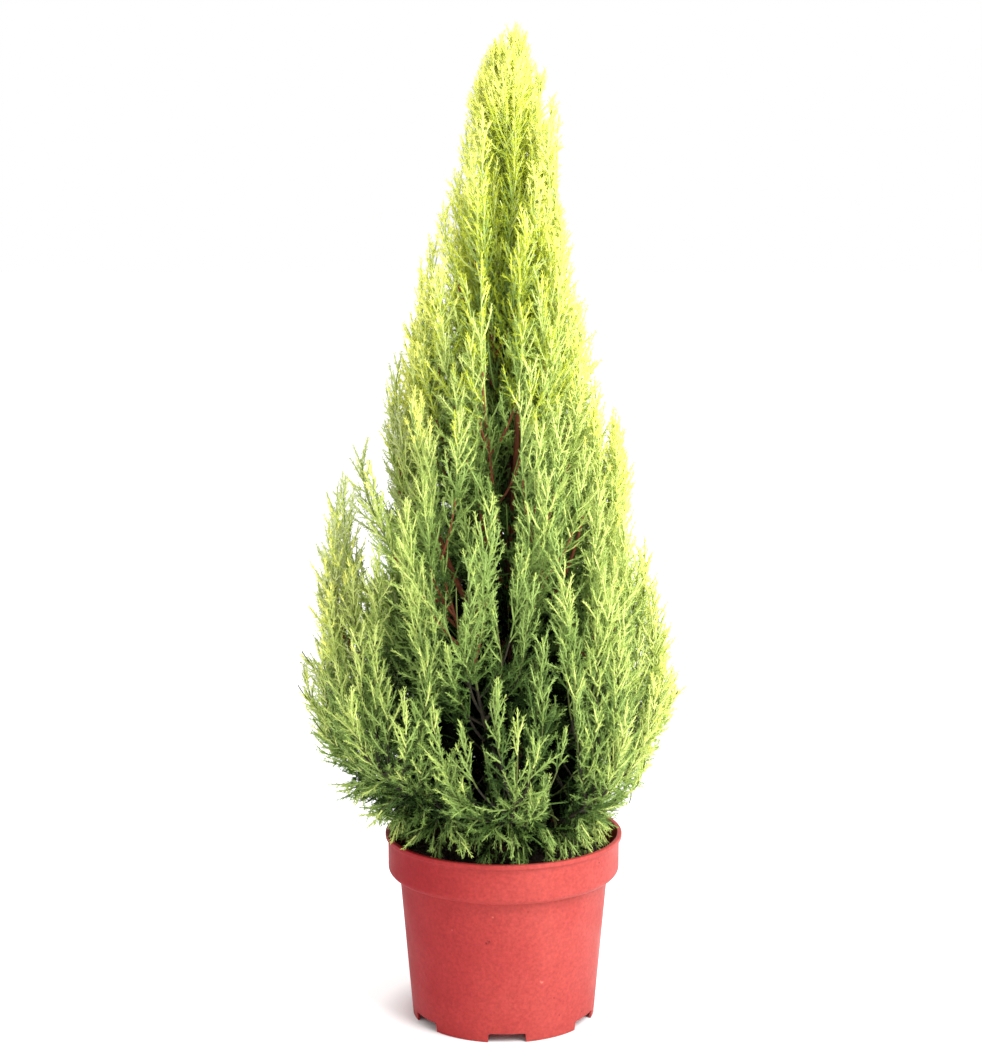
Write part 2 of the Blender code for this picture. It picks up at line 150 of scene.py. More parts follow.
def trunk_radius(height):
    """An even taper from foot to tip, plus a flare that dies out by an exponential."""
    share = np.clip((height - TRUNK_FOOT) / (TRUNK_TOP - TRUNK_FOOT), 0.0, 1.0)
    taper = TRUNK_RADIUS + (TRUNK_TIP_RADIUS - TRUNK_RADIUS) * share
    return taper + (FLARE_RADIUS - TRUNK_RADIUS) * np.exp(-(height - TRUNK_FOOT) / FLARE_HEIGHT)


def crown_reach(height, bearing):
    """The crown's reach: the outline's left and right values, blended by the bearing's cosine."""
    heights, left, right = (np.array(column) for column in zip(*CROWN_OUTLINE))
    to_left = np.interp(height, heights, left)
    to_right = np.interp(height, heights, right)
    return 0.5 * (to_left + to_right) + 0.5 * (to_right - to_left) * np.cos(bearing)


leader_line = sway(np.linspace(TRUNK_TOP, LEADER_TIP, 20))
print("the leader runs from", leader_line[0].round(3), "to", leader_line[-1].round(3))


# %% Curves in space
def polar(reach, bearing, height):
    """The point at a reach from the axis, on a bearing and at a height."""
    return np.array((reach * math.cos(bearing), reach * math.sin(bearing), height))


def around(radius, bearing, height):
    """Points round the axis, from arrays of radii, bearings and heights."""
    x, y = radius * np.cos(bearing), radius * np.sin(bearing)
    return np.stack(np.broadcast_arrays(x, y, height), -1)


def cylinder(points):
    """The points' distances from the axis, bearings and heights."""
    x, y, z = points[..., 0], points[..., 1], points[..., 2]
    return np.hypot(x, y), np.arctan2(y, x), z


def bend_line(foot, bend, tip, count):
    """A quadratic Bezier curve: the three points weighted by (1-t)^2, 2t(1-t) and t^2."""
    t = np.linspace(0.0, 1.0, count)[:, None]
    return (1 - t) ** 2 * foot + 2 * t * (1 - t) * bend + t**2 * tip


def arched(foot, tip, shares, count=14):
    """A bent line whose bend lies at the given shares of the way from foot to tip: the first
    two shares are those across, and the third is the one up."""
    return bend_line(foot, foot + np.array(shares) * (tip - foot), tip, count)


def length_of(line):
    """The sum of the distances between a line's points."""
    return float(np.linalg.norm(np.diff(line, axis=0), axis=1).sum())


def along(line, share):
    """Points and unit directions at shares of a line's length, read between its points. A
    direction is the step from a fiftieth of the length before the point to as far after it."""
    steps = np.linalg.norm(np.diff(line, axis=0), axis=1)
    travelled = np.concatenate([[0.0], np.cumsum(steps)])
    total = travelled[-1]

    def read(distance):
        return np.stack([np.interp(distance, travelled, line[:, k]) for k in range(3)], axis=-1)

    distance = np.clip(share, 0.0, 1.0) * total
    step = 0.02 * total
    way = read(np.minimum(distance + step, total)) - read(np.maximum(distance - step, 0.0))
    return read(distance), way / np.linalg.norm(way, axis=-1, keepdims=True)


print("the leader is", round(length_of(leader_line), 3), "m long")

# %% Limbs
chance = random.Random(SEED)
limbs = []
for tier, (name, count, first, foot, tip_height, bare_length, half_width) in enumerate(TIERS):
    for index in range(count):
        turn = first + index * 360.0 / count
        bearing = math.radians(turn + chance.uniform(-BEARING_JITTER, BEARING_JITTER))
        height = tip_height + chance.uniform(-TIP_JITTER, TIP_JITTER)
        tip = polar(crown_reach(height, bearing), bearing, height)
        start = foot + chance.uniform(-FOOT_JITTER, FOOT_JITTER)
        line = arched(sway(start), tip, LIMB_BEND, 28)
        split = (trunk_radius(start) + bare_length) / length_of(line)
        bough = along(line, np.linspace(0.0, split, 10))[0]
        plume = along(line, np.linspace(split, 1.0, 20))[0]
        limbs.append((f"{name}_{index + 1}", tier, half_width, bough, plume))
print(len(limbs), "limbs planned")

# %% [markdown]
# ## From arrays to meshes
#
# Every surface is worked out as whole numpy arrays, and one function hands its points and faces
# to Blender. A piece rides on the part's one body, and its object stays at the origin.


# %% A piece from arrays
def new_object(name, data):
    """An object for a mesh, a camera or a lamp, put in the scene."""
    thing = bpy.data.objects.new(name, data)
    bpy.context.scene.collection.objects.link(thing)
    return thing


def new_piece(name, points, faces, material, slot, smooth=False):
    """A mesh piece from point and face arrays, riding on the part's body."""
    points = np.asarray(points, np.float32).reshape(-1, 3)
    faces = np.asarray(faces, np.int32)
    corners = faces.shape[1]
    mesh = bpy.data.meshes.new(name)
    mesh.vertices.add(len(points))
    mesh.vertices.foreach_set("co", points.ravel())
    mesh.loops.add(faces.size)
    mesh.loops.foreach_set("vertex_index", faces.ravel())
    mesh.polygons.add(len(faces))
    mesh.polygons.foreach_set("loop_start", np.arange(0, faces.size, corners, dtype=np.int32))
    mesh.polygons.foreach_set("use_smooth", np.full(len(faces), smooth))
    mesh.update(calc_edges=True)
    mesh.validate()
    mesh.materials.append(material)
    piece = new_object(name, mesh)
    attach(piece, "root")
    print(name, len(faces), "faces")
    return piece


def join(parts):
    """Points and faces of several parts as one, with the faces' numbers moved on."""
    points, faces, offset = [], [], 0
    for some_points, some_faces in parts:
        points.append(some_points)
        faces.append(some_faces + offset)
        offset += len(some_points)
    return np.concatenate(points), np.concatenate(faces)


def weld_poles(piece):
    """Merges the points that meet on the axis, and turns all faces outwards."""
    shape = bmesh.new()
    shape.from_mesh(piece.data)
    bmesh.ops.remove_doubles(shape, verts=shape.verts, dist=0.000001)
    bmesh.ops.recalc_face_normals(shape, faces=shape.faces)
    shape.to_mesh(piece.data)
    shape.free()


# %% Directions and grids
def unit(vectors):
    """Each vector divided by its length."""
    return vectors / np.maximum(np.linalg.norm(vectors, axis=-1, keepdims=True), 1e-12)


def aside(directions, roll):
    """A unit vector square to each direction, turned round it by an angle."""
    upright = np.abs(directions[..., 2:3]) < 0.9
    helper = np.where(upright, np.array((0.0, 0.0, 1.0)), np.array((1.0, 0.0, 0.0)))
    first = unit(np.cross(directions, helper))
    roll = np.asarray(roll)[..., None]
    return first * np.cos(roll) + np.cross(directions, first) * np.sin(roll)


def grid_faces(rows, columns):
    """Quads between the rows and columns of a grid, joined round from last column to first."""
    row = np.arange(rows - 1)[:, None] * columns
    column = np.arange(columns)
    after = (column + 1) % columns
    corners = [row + column, row + after, row + columns + after, row + columns + column]
    return np.stack(corners, -1).reshape(-1, 4)


print("a grid of 3 rows and 8 columns has", len(grid_faces(3, 8)), "quads")

# %% Tubes and ripples
WAVES = 24


def tubes(lines, radii, sides):
    """Many tubes at once: a ring of sides round each point of each line, and a pointed end.

    A ring's point is the line's point plus its radius times (cosine, sine) of its angle on two
    vectors square to the line. lines is (tubes, points, 3) and radii is (tubes, points)."""
    count, steps, _ = lines.shape
    ways = unit(np.gradient(lines, axis=1))
    normal = unit(np.cross(ways[:, :1], ways[:, -1:] + np.array((0.013, 0.007, 0.011))))
    first = unit(normal - (normal * ways).sum(-1, keepdims=True) * ways)
    second = np.cross(ways, first)
    angle = (np.arange(sides) * 2 * np.pi / sides)[:, None]
    ring = first[:, :, None] * np.cos(angle) + second[:, :, None] * np.sin(angle)
    points = lines[:, :, None] + radii[:, :, None, None] * ring
    tips = lines[:, -1] + ways[:, -1] * radii[:, -1:] * 2
    body = points.reshape(count, steps * sides, 3)
    points = np.concatenate([body, tips[:, None]], axis=1)
    quads = grid_faces(steps, sides)
    last = (steps - 1) * sides + np.arange(sides)
    after = (steps - 1) * sides + (np.arange(sides) + 1) % sides
    cap = np.stack([last, after, np.full(sides, steps * sides)], -1)
    one = np.concatenate([quads[:, [0, 1, 2]], quads[:, [0, 2, 3]], cap])
    faces = one[None] + (np.arange(count) * (steps * sides + 1))[:, None, None]
    return points.reshape(-1, 3), faces.reshape(-1, 3)


def ripple(points, wavelength, seed):
    """A soft bumpy field, mostly between -2 and 2: the sum of sine waves in random directions,
    divided by the root of half their number."""
    chance = np.random.default_rng(seed)
    directions = unit(chance.normal(size=(WAVES, 3))) * (2 * np.pi / wavelength)
    directions *= chance.uniform(0.6, 1.6, (WAVES, 1))
    phases = chance.uniform(0, 2 * np.pi, WAVES)
    return np.sin(points @ directions.T + phases).sum(-1) / math.sqrt(WAVES / 2)


print("ripples along the leader", ripple(leader_line, 0.05, SEED).round(1)[:6])

# %% [markdown]
# ## Materials
#
# Colours are written as they look on screen and turned into linear values. Small functions add
# a node with its settings and inputs, and link it where an input is another node's output.


# %% Colour and node helpers
def linear(red, green, blue):
    """A screen colour of 0 to 255 as linear light, by the sRGB curve."""
    channels = np.array((red, green, blue)) / 255.0
    low = channels / 12.92
    high = ((channels + 0.055) / 1.055) ** 2.4
    return (*np.where(channels <= 0.04045, low, high).tolist(), 1.0)


def new_material(name, roughness, gloss=0.5):
    """A material with its Principled shader, and the node tree to add to."""
    material = bpy.data.materials.new(name)
    material.use_nodes = True
    tree = material.node_tree
    shader = tree.nodes["Principled BSDF"]
    shader.inputs["Roughness"].default_value = roughness
    shader.inputs["Specular IOR Level"].default_value = gloss
    return material, tree, shader


def add_node(tree, kind, *first, **named):
    """A node of a kind, its settings and inputs set by name, and its first inputs by order.
    The settings come first, because they decide which inputs there are."""
    node = tree.nodes.new(kind)
    for key in [key for key in named if hasattr(node, key)]:
        setattr(node, key, named.pop(key))
    for key, value in [*enumerate(first), *named.items()]:
        if isinstance(value, bpy.types.NodeSocket):
            tree.links.new(value, node.inputs[key])
        else:
            node.inputs[key].default_value = value
    return node


def calculate(tree, operation, *values):
    """The result of a Math node."""
    return add_node(tree, "ShaderNodeMath", *values, operation=operation).outputs[0]


def ramp(tree, value, start, end, least=0.0, most=1.0):
    """A value's way from start to end as a number from least to most, held between them."""
    limits = {"From Min": start, "From Max": end, "To Min": least, "To Max": most}
    return add_node(tree, "ShaderNodeMapRange", value, **limits).outputs["Result"]


def blend(tree, colour, other, factor, kind="MIX"):
    """Another colour blended over a colour by a factor."""
    settings = {"data_type": "RGBA", "blend_type": kind}
    mix = add_node(tree, "ShaderNodeMix", Factor=factor, A=colour, B=other, **settings)
    return mix.outputs["Result"]


print("terracotta in linear light", np.round(linear(180, 60, 60), 3))

# %% [markdown]
# ## Two effects that the materials share
#
# Nothing on a plant is one flat colour, and nothing is quite smooth. Two node groups are built
# once and placed in each material with its own values. In the first, a second colour drifts over
# the main one like a thin cloud. The second is a fine grain, stretched along Z where it is to be
# fibrous, and each material turns it into relief.


# %% Node groups
def new_group(name, inputs, outputs):
    """An empty shader node group with its inputs and outputs, each a name and a kind."""
    group = bpy.data.node_groups.new(name, "ShaderNodeTree")
    for in_out, sockets in (("INPUT", inputs), ("OUTPUT", outputs)):
        for label, kind in sockets.items():
            group.interface.new_socket(label, in_out=in_out, socket_type=f"NodeSocket{kind}")
    entry, leave = group.nodes.new("NodeGroupInput"), group.nodes.new("NodeGroupOutput")
    place = group.nodes.new("ShaderNodeTexCoord").outputs["Object"]
    return group, entry.outputs, leave.inputs, place


inputs = {"Main": "Color", "Second": "Color", "Scale": "Float", "Share": "Float"}
outputs = {"Colour": "Color", "Mask": "Float"}
cloudy, entry, leave, place = new_group("cloudy_colour", inputs, outputs)
inputs = {"Vector": place, "Scale": entry["Scale"], "Detail": 4.0, "Roughness": 0.6}
noise = add_node(cloudy, "ShaderNodeTexNoise", **inputs)
mask = ramp(cloudy, noise.outputs["Fac"], 0.35, 0.68)
share = calculate(cloudy, "MULTIPLY", mask, entry["Share"])
colour = blend(cloudy, entry["Main"], entry["Second"], share)
cloudy.links.new(colour, leave["Colour"])
cloudy.links.new(mask, leave["Mask"])

inputs = {"Scale": "Float", "Detail": "Float", "Stretch": "Vector"}
grainy, entry, leave, place = new_group("fine_grain", inputs, {"Height": "Float"})
place = add_node(grainy, "ShaderNodeMapping", Vector=place, Scale=entry["Stretch"]).outputs[0]
inputs = {"Vector": place, "Scale": entry["Scale"], "Detail": entry["Detail"]}
noise = add_node(grainy, "ShaderNodeTexNoise", **inputs)
grainy.links.new(noise.outputs["Fac"], leave["Height"])
print("node groups", cloudy.name, grainy.name)


# %% Groups placed in a material
def add_cloud(tree, main, second, scale, share):
    """The cloudy colour group placed in a material with its own values."""
    values = {"Main": main, "Second": second, "Scale": scale, "Share": share}
    return add_node(tree, "ShaderNodeGroup", node_tree=cloudy, **values).outputs


def add_relief(tree, shader, scale, detail, strength, distance, stretch=1.0):
    """The grain group placed in a material, turned into relief and linked to its shader."""
    values = {"Scale": scale, "Detail": detail, "Stretch": (1.0, 1.0, stretch)}
    grain = add_node(tree, "ShaderNodeGroup", node_tree=grainy, **values).outputs["Height"]
    bump = add_node(tree, "ShaderNodeBump", Height=grain, Strength=strength, Distance=distance)
    tree.links.new(bump.outputs["Normal"], shader.inputs["Normal"])


def cloudy_material(name, roughness, main, second, scale, share, gloss=0.5):
    """A material whose base colour is the cloudy colour group."""
    material, tree, shader = new_material(name, roughness, gloss)
    colour = add_cloud(tree, linear(*main), linear(*second), scale, share)["Colour"]
    tree.links.new(colour, shader.inputs["Base Color"])
    return material, tree, shader


print("the grain's sockets", [socket.name for socket in grainy.interface.items_tree])

# %% [markdown]
# ## Leaf tints
#
# The foliage is dealt out in plain tints. Eight of them make a ladder from the dark inner leaves
# to the pale lemon tips; its darkest steps are painted shade inside the plant. Two dull pale ones
# are painted light on sprays at the back on the left, and five warm ones take the place of the
# ladder's middle steps towards the top, where the plant is yellower.

# %% Foliage tints
TINTS = {
    "shade": ((8, 18, 6), (5, 12, 5)),
    "deep": ((44, 66, 27), (34, 53, 23)),
    "green": ((86, 114, 49), (74, 102, 45)),
    "fresh": ((126, 153, 75), (114, 141, 69)),
    "lime": ((156, 182, 97), (145, 170, 91)),
    "yellow": ((186, 206, 110), (176, 196, 104)),
    "lemon": ((212, 225, 130), (202, 216, 123)),
    "pale": ((247, 249, 136), (241, 244, 127)),
    # Painted light: two dull pale tints for the sprays at the back on the left.
    "painted_light_olive": ((160, 176, 118), (144, 160, 104)),
    "painted_light_pale": ((206, 214, 156), (194, 204, 142)),
    "warm_green": ((108, 126, 34), (96, 114, 31)),
    "warm_fresh": ((144, 161, 44), (133, 150, 41)),
    "warm_lime": ((172, 188, 55), (161, 178, 51)),
    "warm_yellow": ((192, 204, 62), (182, 194, 58)),
    "warm_lemon": ((216, 225, 84), (206, 216, 79)),
}
LADDER = 8
DARK_TINTS = 2

leaf_materials = {}
for number, (name, colours) in enumerate(TINTS.items()):
    gloss = 0.08 if number < DARK_TINTS else 0.30
    leaf_materials[name] = cloudy_material(f"leaf_{name}", 0.55, *colours, 55.0, 0.6, gloss)[0]
print(len(leaf_materials), "leaf tints")

# %% [markdown]
# ## Bark and soil
#
# Young bark is reddish with fine furrows along the limb. The stems that show in front are
# redder, the inner twigs are darker, a painted shade, and the youngest twigs are still green.
# Moist potting mix is dark brown with paler fibres and a crumbly surface.

# %% Bark and soil materials
BARKS = {
    "bark": ((96, 50, 36), (62, 36, 27), 0.15),
    "young_bark": ((148, 78, 47), (103, 56, 35), 0.15),
    "green_twig": ((92, 104, 42), (74, 80, 34), 0.3),
    # Painted shade: the dark colour of the twigs inside the plant.
    "dark_twig": ((54, 46, 28), (34, 32, 21), 0.2),
}
barks = {}
for name, (main, second, stretch) in BARKS.items():
    barks[name], tree, shader = cloudy_material(name, 0.82, main, second, 90.0, 0.9)
    add_relief(tree, shader, 900.0, 5.0, 0.7, 0.0006, stretch)
dark, fibre = (38, 27, 20), (74, 54, 38)
potting_mix, tree, shader = cloudy_material("potting_mix", 0.95, dark, fibre, 260.0, 0.8)
add_relief(tree, shader, 500.0, 6.0, 0.9, 0.001)
print("made", *barks, "and", potting_mix.name)

# %% [markdown]
# ## The pot's plastic
#
# The plastic is a terracotta red, satin and finely grained. Its colour carries painted light and
# shade: darker red on the left, paler towards the right, where the lamp falls. It is a used pot: a
# few dirt specks lie anywhere on it, and each larger stain or scuff has its own place, as a
# bearing and a height on the wall, a size and a colour. A stain covers what is nearer to its place
# than its size, with an edge made ragged by noise.

# %% Pot material
WHITE = (1.0, 1.0, 1.0, 1.0)
MOTTLE = (0.76, 0.72, 0.74, 1.0)
# Each pair: a darker red for the left and a paler red for the right, painted shade and light.
POT_COLOURS = (((154, 24, 32), (181, 75, 68)), ((143, 20, 29), (172, 65, 60)))
POT_PAINTED_LIGHT_SPAN = (-0.090, 0.035)
POT_ROUGHNESS = (0.44, 0.60)
SPECK_SIZE, SPECK_RARITY = 0.085, 0.965
MARKS = (
    (261.7, 0.0984, 0.0024, (96, 30, 30)),
    (260.2, 0.0968, 0.0018, (96, 30, 30)),
    (282.9, 0.1269, 0.0016, (112, 34, 32)),
    (301.1, 0.0392, 0.0014, (104, 32, 30)),
    (305.5, 0.0210, 0.0016, (104, 32, 30)),
    (292.5, 0.0572, 0.0019, (214, 120, 104)),
    (291.6, 0.0580, 0.0014, (200, 96, 84)),
    (264.1, 0.1228, 0.0016, (196, 92, 82)),
    (240.1, 0.1059, 0.0012, (190, 90, 82)),
)

plastic, tree, shader = new_material("terracotta_plastic", POT_ROUGHNESS[0], 0.13)
place = tree.nodes.new("ShaderNodeTexCoord").outputs["Object"]
across = add_node(tree, "ShaderNodeSeparateXYZ", place).outputs["X"]
# Painted light and shade: darker red on the left, paler towards the right, where the lamp falls.
painted_light_share = ramp(tree, across, *POT_PAINTED_LIGHT_SPAN)
colours = [blend(tree, linear(*left), linear(*right), painted_light_share) for left, right in POT_COLOURS]
cloud = add_cloud(tree, *colours, 18.0, 0.9)
mottle = add_cloud(tree, WHITE, MOTTLE, 320.0, 1.0)
colour = blend(tree, cloud["Colour"], mottle["Colour"], 1.0, "MULTIPLY")

# The specks are the middles of a few cells of a cell pattern, picked by the cells' colour.
cells = add_node(tree, "ShaderNodeTexVoronoi", Vector=place, Scale=70.0).outputs
red = add_node(tree, "ShaderNodeSeparateColor", cells["Color"]).outputs["Red"]
near = calculate(tree, "LESS_THAN", cells["Distance"], SPECK_SIZE)
rare = calculate(tree, "GREATER_THAN", red, SPECK_RARITY)
colour = blend(tree, colour, linear(92, 40, 34), calculate(tree, "MULTIPLY", near, rare))

ragged = add_node(tree, "ShaderNodeTexNoise", Vector=place, Scale=700.0, Detail=2.0)
for bearing, height, size, stain in MARKS:
    spot = polar(BASE_RADIUS + WALL_LEAN * height, math.radians(bearing), height)
    gap = add_node(tree, "ShaderNodeVectorMath", place, tuple(spot), operation="DISTANCE")
    values = (ragged.outputs["Fac"], 2.2 * size, gap.outputs["Value"])
    edge = calculate(tree, "MULTIPLY_ADD", *values)
    colour = blend(tree, colour, linear(*stain), ramp(tree, edge, 1.9 * size, 0.9 * size))

tree.links.new(colour, shader.inputs["Base Color"])
rough = ramp(tree, cloud["Mask"], 0.0, 1.0, *POT_ROUGHNESS)
tree.links.new(rough, shader.inputs["Roughness"])
add_relief(tree, shader, 700.0, 3.0, 0.25, 0.0002)
print(plastic.name, "has", len(tree.nodes), "nodes and", len(MARKS), "marks")

# %% [markdown]
# ## The camera
#
# A camera at the photograph's viewing angle: two metres in front of the plant, nearly as high as
# its top, and tipped down a little. It is placed before any piece is made.

# %% Camera
EYE = np.array((-0.0117, -2.108, 0.813))
CAMERA_PITCH = 9.59

optics = bpy.data.cameras.new("camera")
optics.lens = 79.4
optics.sensor_width = 36.0
optics.clip_start = 0.05
camera = new_object("camera", optics)
camera.location = EYE
camera.rotation_euler = (math.radians(90.0 - CAMERA_PITCH), 0.0, 0.0)
bpy.context.scene.camera = camera
print("camera at", EYE)

# %% [markdown]
# ## The pot's profile
#
# A nursery pot is moulded in one piece: a tapered body, a deep collar that rounds in at its foot,
# and a lip. Its profile is a chain of points, each a radius and a height: arcs, and straight
# runs of evenly spaced points.


# %% Profile of the pot
def arc(radius, height, size, start, end, count=6):
    """Points on an arc: the centre plus its size times the cosine and sine of each angle."""
    angle = np.radians(np.linspace(start, end, count))
    return np.stack([radius + size * np.cos(angle), height + size * np.sin(angle)], -1)


channel = CHANNEL_HEIGHT + WALL
channel_end = BASE_RADIUS + WALL_LEAN * channel - WALL
collar = COLLAR_RADIUS - WALL
turn = COLLAR_FOOT + COLLAR_ROUND
top, lip = POT_HEIGHT - RIM_EDGE, POT_HEIGHT - LIP_HEIGHT
edge = RIM_RADIUS - RIM_EDGE
wall_end = (BASE_RADIUS + WALL_LEAN * 0.014, 0.014)

# From the middle of the floor, over the raised channel and up the inner wall to the rim.
inside = (
    [(0.0, WALL)],
    np.linspace((0.01, WALL), (PAD_RADIUS - 2 * WALL, WALL), 3),
    np.linspace((PAD_RADIUS + WALL, channel), (channel_end, channel), 3),
    [(SHOULDER_RADIUS - WALL, COLLAR_FOOT - WALL)],
    np.linspace((collar, turn), (collar, top), 4),
    arc(collar + RIM_EDGE, top, RIM_EDGE, 180, 90),
)
# Over the rim and the lip, down the collar, round its foot and down the outer wall.
outside = (
    arc(edge, top, RIM_EDGE, 90, 0),
    arc(edge, lip + RIM_EDGE, RIM_EDGE, 0, -80),
    [(COLLAR_RADIUS + 0.0006, lip - 0.0002), (COLLAR_RADIUS, lip - 0.0016)],
    np.linspace((COLLAR_RADIUS, lip - 0.004), (COLLAR_RADIUS, turn), 6),
    arc(COLLAR_RADIUS - COLLAR_ROUND, turn, COLLAR_ROUND, -8, -88, 10),
    [(SHOULDER_RADIUS + 0.0012, COLLAR_FOOT - 0.0001)],
    [(SHOULDER_RADIUS + 0.0004, COLLAR_FOOT - 0.0005)],
    np.linspace((SHOULDER_RADIUS, COLLAR_FOOT - 0.0016), wall_end, 16),
)
# Round the foot of the wall, the run that the notches lift.
foot = (
    arc(BASE_RADIUS - BASE_EDGE, BASE_EDGE, BASE_EDGE, 0, -90, 4),
    arc(BASE_RADIUS - WALL + BASE_EDGE, BASE_EDGE, BASE_EDGE, -90, -180, 4),
)
# Under the channel and the pad, back to the middle.
underside = (
    [(BASE_RADIUS + WALL_LEAN * CHANNEL_HEIGHT - WALL, CHANNEL_HEIGHT)],
    [(PAD_RADIUS + 2 * WALL, CHANNEL_HEIGHT), (PAD_RADIUS, 0.0)],
    np.linspace((PAD_RADIUS - 0.01, 0.0), (0.0, 0.0), 3),
)
chain = [np.concatenate(part) for part in (inside, outside, foot, underside)]
profile = np.concatenate(chain)
is_foot = np.repeat((0.0, 0.0, 1.0, 0.0), [len(part) for part in chain])
print(len(profile), "points in the profile,", int(is_foot.sum()), "of them on the wall's foot")

# %% [markdown]
# ## The pot's shell
#
# The profile is carried round the axis. The notches that let water out need no cutter: in their
# columns the foot of the wall is simply lifted, and columns close together make their sides.


# %% Pot shell
def notch_lift(bearing):
    """How far the foot of the wall is lifted: nothing outside a notch, the notch's height inside
    it, and a quarter circle at its two upper corners."""
    spacing = 360.0 / NOTCH_COUNT
    off = np.abs((bearing - NOTCH_BEARING + spacing / 2) % spacing - spacing / 2)
    inside = NOTCH_WIDTH / 2 - np.radians(off) * BASE_RADIUS
    fall = NOTCH_CORNER - np.clip(inside, 0.0, NOTCH_CORNER)
    corner = NOTCH_CORNER - np.sqrt(np.maximum(NOTCH_CORNER**2 - fall**2, 0.0))
    return np.where(inside >= 0.0, NOTCH_HEIGHT - corner, 0.0)


# The columns stand at even steps, with close ones at each side of each notch.
inset = np.array((-0.02, 0.0, 0.15, 0.4, 0.7, 1.0)) * NOTCH_CORNER
half = np.degrees((NOTCH_WIDTH / 2 - inset) / BASE_RADIUS)
middles = NOTCH_BEARING + np.arange(NOTCH_COUNT)[:, None] * 360.0 / NOTCH_COUNT
sides = np.concatenate([middles + half, middles - half]).ravel() % 360
bearings = np.unique(np.round(np.concatenate([np.arange(0.0, 360.0, 2.0), sides]), 6))
lift = is_foot[:, None] * notch_lift(bearings)
radius = profile[:, :1] + WALL_LEAN * lift
points = around(radius, np.radians(bearings), profile[:, 1:] + lift)
faces = grid_faces(len(profile), len(bearings))
pot = new_piece("pot_shell", points, faces, plastic, "terracotta_plastic", smooth=True)
weld_poles(pot)
pot.data.set_sharp_from_angle(angle=math.radians(38))
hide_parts("pot")

# %% [markdown]
# ## The soil
#
# The potting mix is a low mound with lumps of three sizes: a grid of rings and spokes lifted by
# soft waves.

# %% Soil mound
SOIL_WAVES = ((0.0016, 0.030, 1), (0.0009, 0.010, 2), (0.0004, 0.004, 3))
SPOKES = 120


def soil_height(ground):
    """The mound's height over points on the ground: it falls from the middle to the edge, with
    waves of three sizes."""
    waves = sum(size * ripple(ground, wave, seed) for size, wave, seed in SOIL_WAVES)
    fall = (SOIL_MIDDLE - SOIL_EDGE) * np.clip(cylinder(ground)[0] / COLLAR_RADIUS, 0, 1)
    return SOIL_MIDDLE - fall + waves


radii = np.concatenate([[0.0], np.linspace(0.004, COLLAR_RADIUS - WALL - 0.0004, 46)])
points = around(radii[:, None], np.linspace(0, 2 * np.pi, SPOKES, endpoint=False), 0.0)
points[..., 2] = soil_height(points)
points[0] = points[0].mean(0)
skirt = points[-1:].copy()
skirt[..., 2] = COLLAR_FOOT + COLLAR_ROUND + 0.002
points = np.concatenate([points, skirt])
faces = grid_faces(len(points), SPOKES)[:, ::-1]
soil = new_piece("soil_mound", points, faces, potting_mix, "potting_mix", True)
weld_poles(soil)
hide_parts("soil")

# %% [markdown]
# Loose crumbs of bark and peat lie on the mound. Each is a twelve-point lump, an icosahedron,
# pulled out of shape in its own way. Most are small, and a few are over five millimetres long.

# %% Crumbs
CRUMBS = 1500
CRUMB_LEAST, CRUMB_SPREAD = 0.0007, 0.0022
pairs = [(one, golden) for one in (1, -1) for golden in (1.618, -1.618)]
LUMP = [(0, one, golden) for one, golden in pairs]
LUMP += [(one, golden, 0) for one, golden in pairs]
LUMP += [(golden, 0, one) for one, golden in pairs]
LUMP = np.array(LUMP)

# Every three points that are neighbours make a triangle, turned to face outwards.
triangles = []
for a, b, c in itertools.combinations(range(len(LUMP)), 3):
    sides = (LUMP[b] - LUMP[a], LUMP[c] - LUMP[a], LUMP[c] - LUMP[b])
    if max(np.linalg.norm(side) for side in sides) < 2.1:
        outwards = np.cross(sides[0], sides[1]) @ LUMP[a] > 0
        triangles.append((a, b, c) if outwards else (a, c, b))

chance = np.random.default_rng(5)
radius = (COLLAR_RADIUS - 0.005) * np.sqrt(chance.uniform(0.02, 1.0, CRUMBS))
place = around(radius, chance.uniform(0, 2 * np.pi, CRUMBS), 0.0)
place[:, 2] = soil_height(place) + 0.0003
size = CRUMB_LEAST + CRUMB_SPREAD * chance.uniform(0, 1, CRUMBS) ** 2.5
stretch = chance.uniform(0.45, 1.5, (CRUMBS, 1, 3)) * size[:, None, None] / 1.9
shaken = LUMP * (1 + chance.uniform(-0.25, 0.25, (CRUMBS, 12, 3))) * stretch
turn = chance.uniform(0, 2 * np.pi, CRUMBS)[:, None]
x = shaken[..., 0] * np.cos(turn) - shaken[..., 1] * np.sin(turn)
y = shaken[..., 0] * np.sin(turn) + shaken[..., 1] * np.cos(turn)
points = np.stack([x, y, shaken[..., 2] * 0.7], -1) + place[:, None]
faces = np.array(triangles) + (np.arange(CRUMBS) * len(LUMP))[:, None, None]
new_piece("soil_crumbs", points, faces.reshape(-1, 3), potting_mix, "potting_mix")

# %% [markdown]
# ## Trunk and boughs
#
# The bark of a young cypress is thin, reddish and finely furrowed along its length. A limb is a
# tube whose radius carries the furrows, so that the relief is in the mesh, and each bough starts
# a little inside the trunk with a swollen collar, as a real one does.

# %% Trunk and boughs
TRUNK_SUNK = 0.004
FURROW_DEPTHS = (0.10, 0.05)
FURROW_WIDTHS = (0.007, 0.003)


def bark_tube(line, radii, sides, seed):
    """One limb: rings round the line, each radius times one plus furrows that run along it."""
    points, faces = tubes(line[None], radii[None], sides)
    body = points[:-1].reshape(len(line), sides, 3)
    angle = np.arange(sides) * 2 * np.pi / sides
    place = np.empty(body.shape)
    place[..., :2] = np.stack([np.cos(angle), np.sin(angle)], -1) * 0.010
    place[..., 2] = line[:, 2:] * 0.25
    furrows = zip(FURROW_DEPTHS, FURROW_WIDTHS, (seed, seed + 1))
    furrow = sum(depth * ripple(place, width, number) for depth, width, number in furrows)
    body = line[:, None] + (body - line[:, None]) * (1 + furrow[..., None])
    return np.concatenate([body.reshape(-1, 3), points[-1:]]), faces


